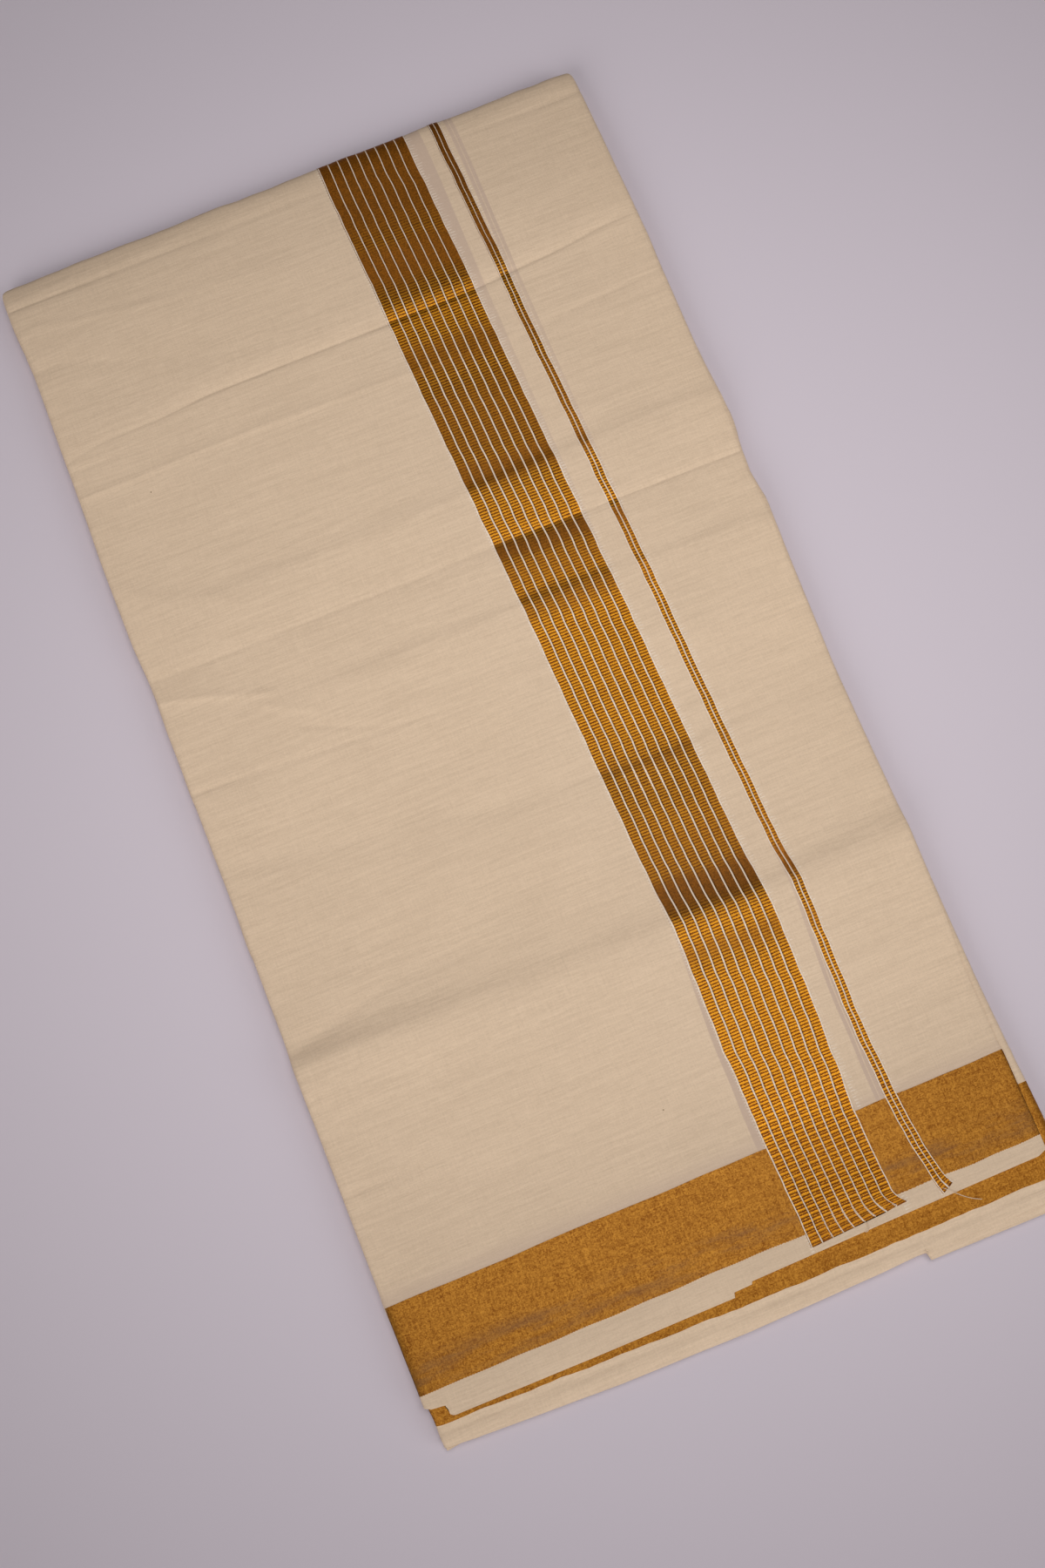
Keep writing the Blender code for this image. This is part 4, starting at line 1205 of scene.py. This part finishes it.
def make_leaf(index):
    """The loops of one leaf, from its upper open end round the far fold to its lower one."""
    radius = (index + 0.5) * LEAF_PITCH
    soft = [waves(100 + 10 * index + k, 10, 25, 260) for k in range(4)]
    wobble = [waves(300 + 10 * index + k, 8, 12, 60) for k in range(2)]
    rings = []
    for kind, value in leaf_rows():
        below = kind == "bottom"
        near_left, near_right = LEAF_ENDS[index][below]
        place = RUN_PLACES * (1.0 if kind == "turn" else value) + LOWER_PLACES * below
        sides = [0.15 + 0.75 * soft[k](place) + 0.25 * soft[k + 1](3 * place) for k in (0, 2)]

        def near_y(x, left=near_left, right=near_right, curve=wobble[below]):
            return across(left, right, x) + 0.9 * curve(x)

        rings.append(leaf_ring(radius, sides, kind, value, near_y))
    first_middle, first_deep = end_loops(rings[0], SLOT_DEPTH)
    last_middle, last_deep = end_loops(rings[-1], SLOT_DEPTH)
    return np.array([first_deep, first_middle, *rings, last_middle, last_deep])


def tube_faces(rings, around, start):
    """The four-cornered faces of a tube of closed loops, open at both ends."""
    index = np.arange(around)
    following = (index + 1) % around
    faces = []
    for ring in range(rings - 1):
        here = start + ring * around
        there = here + around
        faces.append(np.stack([here + index, here + following, there + following, there + index], axis=1))
    return [tuple(face) for face in np.concatenate(faces)]


def cap_faces(around, start, flip):
    """Closes a flat loop with a strip of faces from its outer side to its inner side."""
    columns = (around - 2 * SIDE_POINTS) // 2
    faces = []
    for column in range(columns - 1):
        a, b = column, column + 1
        c, d = 2 * columns + SIDE_POINTS - 1 - b, 2 * columns + SIDE_POINTS - 1 - a
        faces.append((a, b, c, d))
    right = [columns - 1, *range(columns, columns + SIDE_POINTS), columns + SIDE_POINTS]
    left = [2 * columns + SIDE_POINTS - 1, *range(2 * columns + SIDE_POINTS, around), 0]
    faces += [tuple(right), tuple(left)]
    faces = [tuple(start + corner for corner in face) for face in faces]
    return [face[::-1] if flip else face for face in faces]


all_points, all_faces, start = [], [], 0
for index in range(LEAVES):
    rings = make_leaf(index)
    around = rings.shape[1]
    all_faces += tube_faces(len(rings), around, start)
    all_faces += cap_faces(around, start, True)
    all_faces += cap_faces(around, start + (len(rings) - 1) * around, False)
    all_points.append(rings.reshape(-1, 3))
    start += rings.shape[0] * around
inner_plies = new_piece("inner_plies", np.concatenate(all_points), all_faces, cotton)
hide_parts("inner_layers")
print("inner plies faces:", len(inner_plies.data.polygons))

# %% [markdown]
# ## The woven border
# Gold weft makes nine raised, ribbed stripes, and a white cord stands between each two. The
# border is its own sheet, made from the top cloth's surface and moved out by a sixth of a
# millimetre. Its columns fall on the stripe and cord edges, and it has two rows to each rib, so
# that ribs and cords are real relief. The cords wander together by half a millimetre.

# %% The woven border
CORD = 0.72
LINE_CORD = 0.60
RIBBON_BASE = 0.16
# Relief across one stripe and one cord: share of its width, height.
STRIPE_PARTS = ((0.0, 0.0), (0.22, 0.05), (0.5, 0.07), (0.78, 0.05), (1.0, 0.0))
CORD_PARTS = ((0.28, 0.20), (0.5, 0.27), (0.72, 0.20))
# y at the border, half length, strength: where the iron has pressed the gold smooth, so its ribs are lower
# and its colour is a darker painted shade
PRESSED = (
    (292.0, 44.0, 0.95), (243.0, 16.0, 0.95), (188.0, 10.0, 0.55), (150.0, 26.0, 0.5), (123.0, 8.0, 0.75),
    (80.0, 5.5, 0.85), (70.0, 12.0, 0.35), (50.0, 8.0, 0.30), (-108.0, 10.5, 1.0), (-90.0, 16.0, 0.35),
    (-138.0, 5.0, 0.35), (-42.0, 3.0, 0.3), (-70.0, 20.0, 0.15), (-245.0, 10.0, 0.10),
    (-284.0, 10.0, 0.3),
)
# y at the border, and a painted brightness for the gold there: above 1 a painted highlight, below 1 a painted
# shade
GOLD_PAINTED_SHINE = (
    (-284, 1.12), (-255, 1.10), (-240, 1.20), (-220, 1.40), (-200, 1.22), (-165, 1.13), (-152, 1.07),
    (-145, 0.90), (-138, 0.88), (-128, 1.07), (-123, 0.87), (-117, 0.50), (-108, 0.47), (-98, 0.62),
    (-88, 0.73), (-75, 0.77), (-60, 0.71), (-42, 0.65), (-34, 0.80), (-20, 1.03), (0, 1.0), (20, 1.08),
    (38, 1.10), (52, 0.71), (60, 1.03), (72, 0.86), (84, 0.61), (88, 1.10), (100, 1.05), (110, 0.85),
    (117, 0.81), (122, 0.84), (135, 0.79), (150, 0.83), (170, 0.79), (190, 0.87), (206, 1.12),
    (211, 1.18), (216, 1.04), (225, 0.72), (235, 0.96), (260, 0.84), (280, 0.81), (300, 0.89),
)
# y at the line, and a painted brightness for its gold there: above 1 a painted highlight, below 1 a painted
# shade
LINE_PAINTED_SHINE = (
    (-284, 1.1), (-200, 1.1), (-140, 1.0), (-118, 0.72), (-98, 0.92), (-60, 0.98), (-40, 0.88), (0, 0.98),
    (60, 1.08), (100, 1.05), (120, 1.0), (150, 0.94), (220, 0.86), (240, 0.92), (260, 0.78), (280, 0.65),
    (300, 0.72),
)
drift = waves(41, 8, 30, 130)
drift_fine = waves(42, 6, 9, 26)


def pressed_at(x, y):
    """How flat the iron has pressed the gold: 0 to 1."""
    slanted = y + 0.05 * (x - 50) + 1.2 * drift_fine(x * 0.6 + y * 0.05)
    amount = np.zeros(np.broadcast(x, y).shape)
    for middle, half, strength in PRESSED:
        here = strength * fade(1.35 - np.abs(slanted - middle) / half)
        amount = np.maximum(amount, here)
    return amount


print("ribs along the border:", round(590 / RIB_PITCH))

# %% [markdown]
# The functions below make any woven border: the wide one and the narrow line differ only in
# their route, their number of stripes and their cord. At the open end the stripes come loose
# from each other and curl a little to the right.

# %% Columns and rows of a border
TIP_Y = -185.5 * RIB_PITCH
TIP_CURL_START = 11.0
RIB_HEIGHT = 0.085
# A border's outermost cords are this share of the height of the others, and its rim is this high.
OUTER_CORD, RIM_HEIGHT = 0.6, 0.02


def stripe_places(count, cord_share):
    """For each column: its place counted in stripes, its relief, and 1 on a cord."""
    gold = 1 - cord_share
    places = [(-cord_share, RIM_HEIGHT, 1.0)]
    places += [(-cord_share + part * cord_share, OUTER_CORD * rise, 1.0) for part, rise in CORD_PARTS]
    for stripe in range(count):
        places += [(stripe + part * gold, rise, 0.0) for part, rise in STRIPE_PARTS]
        last = OUTER_CORD if stripe == count - 1 else 1.0
        places += [(stripe + gold + part * cord_share, last * rise, 1.0) for part, rise in CORD_PARTS]
    places.append((float(count), RIM_HEIGHT, 1.0))
    return np.array(places)


def border_rows(start_y):
    """y of each flat row up to the far fold, two for each rib."""
    count = int((FOLD_START_LEFT - start_y) / (RIB_PITCH / 2))
    return start_y + np.arange(count) * RIB_PITCH / 2


print("flat rows of a border:", len(border_rows(TIP_Y)))

# %% [markdown]
# Row by row, the grid follows the border's route over the pressed cloth. Every second row is a
# rib's crest. Past the far fold's start the same columns go on round the fold.

# %% The border's grid
# How far the cords drift together, and each of them by itself.
DRIFT, DRIFT_ALONE = 0.22, 0.16
# How much higher every second rib stands near the open end, and how much of a rib the iron takes.
PAIRED, IRONED = 0.6, 0.8
BORDER_FOLD_ROWS = FOLD_STEPS * 2 - 7


def make_border(route, count, cord, curl):
    """A border's grid, its columns, the y of its flat rows and its cord's share of a stripe."""
    def pitch_at(y):
        return (read(route, y, 2) + cord) / count

    cord_share = cord / pitch_at(0.0)
    columns = stripe_places(count, cord_share)
    stripe, relief, is_cord = columns.T
    rows = []
    flat_rows = border_rows(TIP_Y)
    for number, y in enumerate(flat_rows):
        near_tip = np.clip((TIP_Y + TIP_CURL_START - y) / TIP_CURL_START, 0, 1)
        x = read(route, y) + stripe * pitch_at(y)
        alone = drift_fine(y + 2.0 * np.floor(stripe + 0.999))
        x = x + DRIFT * drift(y + 0.15 * x) + DRIFT_ALONE * alone
        x = x + curl * near_tip ** 2 * np.clip(stripe / count, 0, 1)
        stagger = 0.5 * drift_fine(np.floor(stripe + 0.01) * 7.0) + 0.35 * stripe * 9 / count
        row_y = y + near_tip * stagger + np.zeros_like(x)
        in_twos = fade((PAIRS_START - y) / (PAIRS_START - PAIRS_FULL))
        paired = PAIRED * in_twos * math.cos(math.pi * y / RIB_PITCH)
        flattened = 1 - IRONED * pressed_at(x, row_y)
        rib = RIB_HEIGHT * (number % 2) * (1 + paired) * (1 - is_cord) * flattened
        height = stack_height(x, row_y) + RIBBON_BASE + relief + rib
        rows.append(np.stack([x, row_y, height], axis=-1))
    flat_x = rows[-1][:, 0]
    fold_rows = []
    for step in range(BORDER_FOLD_ROWS):
        angle = 90 - 90 * step / FOLD_STEPS
        point = fold_turn(flat_x, angle, 0.0)
        outward = np.array([0.0, math.cos(math.radians(angle)), math.sin(math.radians(angle))])
        rib = RIB_HEIGHT * 0.4 * (step % 2) * (1 - is_cord)
        fold_rows.append(point + (RIBBON_BASE + relief + rib)[:, None] * outward)
    return np.array(rows + fold_rows), columns, flat_rows, cord_share


print("rows round the fold:", BORDER_FOLD_ROWS)

# %% [markdown]
# A border lies on the cloth, so its underside never shows and can be one flat strip. Its maps
# are laid by counting stripes across and measuring millimetres along, round the fold too.

# %% Close a border and lay its maps
RIBBON_PLY = 0.12


def finish_border(name, grid, columns, flat_rows, count, material, nodes, lanes, painted_shines):
    """Closes a border with a flat back, and lays its maps."""
    rows, wide = grid.shape[:2]
    front = grid_faces(rows, wide)
    back_left = np.arange(rows) + rows * wide
    back_right = back_left + rows
    down = grid_normals(grid)
    back = np.concatenate([grid[:, k] - down[:, k] * RIBBON_PLY for k in (0, -1)])
    left, right = np.arange(rows) * wide, np.arange(rows) * wide + wide - 1
    faces = [tuple(face) for face in front]
    for row in range(rows - 1):
        faces.append((back_left[row], back_left[row + 1], back_right[row + 1], back_right[row]))
        faces.append((left[row], left[row + 1], back_left[row + 1], back_left[row]))
        faces.append((right[row + 1], right[row], back_right[row], back_right[row + 1]))
    near = list(range(wide))
    far = [(rows - 1) * wide + column for column in range(wide)]
    faces.append((back_left[0], back_right[0], *near[::-1]))
    faces.append((back_right[-1], back_left[-1], *far))
    points = np.concatenate([grid.reshape(-1, 3), back])
    piece = new_piece(name, points, faces, material)
    round_fold = np.cumsum(np.linalg.norm(np.diff(grid[len(flat_rows) - 1:, wide // 2], axis=0), axis=1))
    along = np.concatenate([flat_rows - TIP_Y, flat_rows[-1] - TIP_Y + round_fold])
    stripe = np.tile(columns[:, 0], rows)
    places = np.stack([stripe, np.repeat(TIP_Y + along, wide)], axis=1)
    ends = np.stack([np.repeat([-0.1, float(count)], rows), np.tile(TIP_Y + along, 2)], axis=1)
    add_map(piece, "Stripes", np.concatenate([places, ends]))
    pressed_and_shaded = pressed_at(points[:, 0], TIP_Y + np.concatenate([np.repeat(along, wide), np.tile(along, 2)]))
    add_number(piece, "pressed_and_shaded", pressed_and_shaded)
    # A painted brightness along the strip: painted highlight and painted shade.
    add_number(piece, "painted_shine", read(painted_shines, points[:, 1] + 0.05 * (points[:, 0] - 50)))
    add_lanes(piece, rows, wide, lanes)
    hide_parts(*nodes)
    print(name, "faces:", len(piece.data.polygons))
    return piece


# %% [markdown]
# The wide border has nine stripes, and the narrow line has two with one cord between them.

# %% The wide border and the narrow line
grid, columns, flat_rows, share = make_border(BORDER_ROUTE, 9, CORD, 4.0)
print("cord share of the wide border:", round(share, 3))
wide_border = finish_border("wide_border", grid, columns, flat_rows, 9, border_zari,
                            [f"border_stripe_{number}" for number in range(1, 10)], 4, GOLD_PAINTED_SHINE)
grid, columns, flat_rows, share = make_border(LINE_ROUTE, 2, LINE_CORD, 0.8)
print("cord share of the narrow line:", round(share, 3))
narrow_line = finish_border("narrow_line", grid, columns, flat_rows, 2, line_zari,
                            ["line_stripe_1", "line_stripe_2"], 8, LINE_PAINTED_SHINE)

# %% [markdown]
# ## The gold end bands
# The band crosses the whole cloth, about 43 mm wide. The border and the line are woven over it,
# so it shows in three stretches. Its outer edge is finely stepped, like the ends of threads.

# %% The gold end bands
BAND_LEVEL = 0.13
BAND_PLY = 0.10
# About where the band starts and how wide it is: this places its sides and its smudges.
BAND_FOOT, BAND_WIDE = -277.0, 42.0
WEFT_STEP = 1.3
# A stretch stops this far short of a woven strip, and of the cloth's side.
STRIP_GAP, SIDE_GAP = 0.2, 0.02
band_edge = waves(51, 8, 20, 120)


def band_foot_y(x):
    teeth = 0.14 * np.sign(np.sin(2 * np.pi * x / WEFT_STEP))
    return across(-278.2, -276.2, x) + 0.35 * band_edge(x) + teeth


def band_head_y(x):
    return across(-235.5, -233.2, x) + 0.25 * band_edge(x + 900)


def ends_of(grid):
    """1 at the two side columns of a grid and of its hidden copy, 0 elsewhere."""
    marked = np.zeros(grid.shape[:2])
    marked[:, [0, -1]] = 1
    return np.tile(marked.ravel(), 2)


def band_sides(y, left_route, right_route):
    """x of both sides of a stretch at y. Without a route it runs to the side of the cloth."""
    left, right = -HALF_WIDTH + SIDE_GAP, HALF_WIDTH - SIDE_GAP
    if left_route:
        left = read(left_route, y) + read(left_route, y, 2) + STRIP_GAP
    if right_route:
        right = read(right_route, y) - STRIP_GAP
    return left, right


def make_band(name, node_name, left_route=None, right_route=None):
    """One stretch of the end band, between two woven strips, with two columns for a step."""
    shares = np.linspace(0, 1, 20)
    left, right = band_sides(BAND_FOOT + BAND_WIDE / 2, left_route, right_route)
    columns = max(3, int((right - left) / (WEFT_STEP / 2)))
    rows = []
    for share in shares:
        y_middle = BAND_FOOT + share * BAND_WIDE
        x = np.linspace(*band_sides(y_middle, left_route, right_route), columns)
        y = band_foot_y(x) * (1 - share) + band_head_y(x) * share
        rows.append(on_stack(x, y, BAND_LEVEL))
    grid = np.array(rows)
    points, faces = sheet_parts(grid, BAND_PLY)
    piece = new_piece(name, points, faces, band_gold)
    from_foot = np.tile(np.repeat(shares * BAND_WIDE, grid.shape[1]), 2)
    add_map(piece, "Weave", np.stack([points[:, 0], from_foot], axis=1))
    add_number(piece, "painted_edge_shade", ends_of(grid))
    add_number(piece, "painted_shine", np.ones(len(points)))
    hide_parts(node_name)
    print(name, "faces:", len(piece.data.polygons))
    return piece


band_left = make_band("end_band_left_part", "end_band_left", None, BORDER_ROUTE)
band_middle = make_band("end_band_middle_part", "end_band_middle", BORDER_ROUTE, LINE_ROUTE)
band_right = make_band("end_band_right_part", "end_band_right", LINE_ROUTE)

# %% [markdown]
# The second cloth has the same band. Only a sliver of it shows, between the top cloth's cut edge
# and its own outer edge, and it runs on under the top cloth.

# %% The second end band
CLEAN_START = 24.0
# It slopes down to the open end, where it would look dull, so its colour is painted brighter there: a painted
# highlight.
SECOND_PAINTED_SHINE = 1.22


def make_second_band():
    """It uses the second cloth's own rows and columns, so that it lies evenly on it."""
    grid = second_outer[band_first:band_last].copy()
    grid[:, :, 2] += BAND_LEVEL
    points, faces = sheet_parts(grid, BAND_PLY)
    piece = new_piece("second_band_part", points, faces, band_gold)
    from_foot = np.tile(np.repeat(np.linspace(CLEAN_START, 43, len(grid)), grid.shape[1]), 2)
    add_map(piece, "Weave", np.stack([points[:, 0], from_foot], axis=1))
    add_number(piece, "painted_edge_shade", ends_of(grid))
    add_number(piece, "painted_shine", np.full(len(points), SECOND_PAINTED_SHINE))
    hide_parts("second_end_band")
    return piece


second_band = make_second_band()
print("second band faces:", len(second_band.data.polygons))

# %% [markdown]
# ## Loose threads
# A few weft ends have worked loose at the open end. Each is a thin tube along a few points, with
# how far it stands over the stack at each of them. All are joined in one small mesh.

# %% Loose threads
# x, y, height over the stack's top sheet
LOOSE_THREADS = (
    ((62.4, -282.6, 0.3), (62.9, -284.6, 0.4), (62.6, -286.0, 0.6), (61.4, -286.8, 0.7),
     (60.3, -286.4, 0.6)),
    ((102.0, -281.5, 0.4), (105.5, -284.6, 0.4), (108.2, -287.4, 0.2), (111.0, -289.7, 0.0),
     (114.2, -291.8, 0.0), (117.5, -293.4, -0.1)),
    ((83.3, -304.8, -0.2), (84.4, -306.0, 0.3), (84.0, -307.6, 0.6), (84.9, -309.2, 0.3)),
)
THREAD_RADIUS = 0.17
THREAD_SIDES = 6


def thread_rings(route):
    """Loops of points round a thread's route, small at both ends."""
    route = np.array(route)
    route[:, 2] += stack_height(route[:, 0], route[:, 1])
    places = np.linspace(0, len(route) - 1, 5 * len(route))
    middle = np.stack([np.interp(places, np.arange(len(route)), route[:, k]) for k in range(3)], axis=1)
    for _ in range(3):
        middle[1:-1] = (middle[:-2] + 2 * middle[1:-1] + middle[2:]) / 4
    ahead = np.gradient(middle, axis=0)
    ahead /= np.linalg.norm(ahead, axis=1, keepdims=True)
    side = np.cross(ahead, (0.0, 0.0, 1.0))
    above = np.cross(side, ahead)
    turn = 2 * np.pi * np.arange(THREAD_SIDES) / THREAD_SIDES
    radius = np.full(len(middle), THREAD_RADIUS)
    radius[[0, -1]] *= 0.4
    circle = side[:, None] * np.cos(turn)[:, None] - above[:, None] * np.sin(turn)[:, None]
    return middle[:, None] + circle * radius[:, None, None]


all_points, all_faces, start = [], [], 0
for route in LOOSE_THREADS:
    rings = thread_rings(route)
    all_faces += tube_faces(len(rings), THREAD_SIDES, start)
    last = start + (len(rings) - 1) * THREAD_SIDES
    all_faces.append(tuple(range(start + THREAD_SIDES - 1, start - 1, -1)))
    all_faces.append(tuple(range(last, last + THREAD_SIDES)))
    all_points.append(rings.reshape(-1, 3))
    start += rings.shape[0] * THREAD_SIDES
loose_threads = new_piece("loose_threads", np.concatenate(all_points), all_faces, cotton)
print("loose threads:", len(LOOSE_THREADS))

# %% [markdown]


# %% [markdown]
# ## Floor
# The bundle lies on a plain pale surface, matte and a little pink, so large that the camera
# never sees its edge. It isn't part of the cloth.

# %% Floor
FLOOR_HALF = 3.0
corners = [(side * FLOOR_HALF, end * FLOOR_HALF, 0) for side, end in ((-1, -1), (1, -1), (1, 1), (-1, 1))]
floor_mesh = bpy.data.meshes.new("floor")
floor_mesh.from_pydata(corners, [], [(0, 1, 2, 3)])
floor = bpy.data.objects.new("floor", floor_mesh)
bpy.context.scene.collection.objects.link(floor)
paper, tree, shader = new_material("pale backdrop", 0.75, 0.0)
shader["Base Color"].default_value = (0.640, 0.570, 0.625, 1.0)
shader["Specular IOR Level"].default_value = 0.2
floor_mesh.materials.append(paper)
print("floor, m:", 2 * FLOOR_HALF)

# %% [markdown]
# ## Light
# The light is soft and nearly even, so creases show only as gentle shading. A large softbox
# hangs straight above. It lights mostly downwards, so the cloth is a little brighter in its
# middle. Two wide windows light it from the near left and, more weakly, from the near right.

# %% Light
def aim(lamp, place, target):
    """Moves a lamp and turns it to shine at a target."""
    lamp.location = place
    away = mathutils.Vector(target) - lamp.location
    lamp.rotation_mode = "QUATERNION"
    lamp.rotation_quaternion = away.to_track_quat("-Z", "Y")
    bpy.context.scene.collection.objects.link(lamp)


def window_light(name, turn, height, strength, width=40.0):
    """Soft light from a far, wide source. turn and height are the degrees round and above the floor."""
    made = bpy.data.lights.new(name, "SUN")
    made.energy = strength
    made.angle = math.radians(width)
    round_floor, above = math.radians(turn), math.radians(height)
    place = (3 * math.cos(round_floor) * math.cos(above), 3 * math.sin(round_floor) * math.cos(above),
             3 * math.sin(above))
    aim(bpy.data.objects.new(name, made), place, (0, 0, 0))


softbox = bpy.data.lights.new("softbox", "AREA")
softbox.shape = "SQUARE"
softbox.size = 0.70
softbox.spread = math.radians(58)
softbox.energy = 1.42
aim(bpy.data.objects.new("softbox", softbox), (0.06, -0.02, 1.30), (0.06, -0.02, 0.0))
window_light("left window", -135, 30, 1.13)
window_light("right window", -45, 30, 0.73)
# The room fills the shadows only faintly, but where it is seen it is a pale wall.
FILL, BACKDROP = 0.06, 0.27
world = bpy.data.worlds.new("studio")
bpy.context.scene.world = world
world.use_nodes = True
background = world.node_tree.nodes["Background"].inputs
background["Color"].default_value = (1.0, 0.94, 0.99, 1.0)
seen = node(world.node_tree, "ShaderNodeLightPath").outputs["Is Camera Ray"]
strength = maths(world.node_tree, "MULTIPLY_ADD", seen, BACKDROP - FILL, FILL)
world.node_tree.links.new(strength, background["Strength"])
bpy.context.scene.view_settings.view_transform = "Standard"
print("lights:", len(bpy.data.lights))

# %% [markdown]
# ## Camera
# The camera looks down from a metre above the open end, tilted towards the far fold and turned,
# so that the bundle lies aslant. A normal lens keeps its sides nearly parallel.

# %% Camera
CAMERA_TILT = math.radians(10.83)
CAMERA_TURN = math.radians(-21.96)
lens = bpy.data.cameras.new("camera")
lens.lens = 50.0
lens.sensor_width = 36.0
camera = bpy.data.objects.new("camera", lens)
camera.location = (-0.0822, -0.2136, 1.0467)
camera.rotation_mode = "XYZ"
camera.rotation_euler = (CAMERA_TILT, 0.0, CAMERA_TURN)
bpy.context.scene.collection.objects.link(camera)
bpy.context.scene.camera = camera
print("camera height, m:", round(camera.location.z, 2))
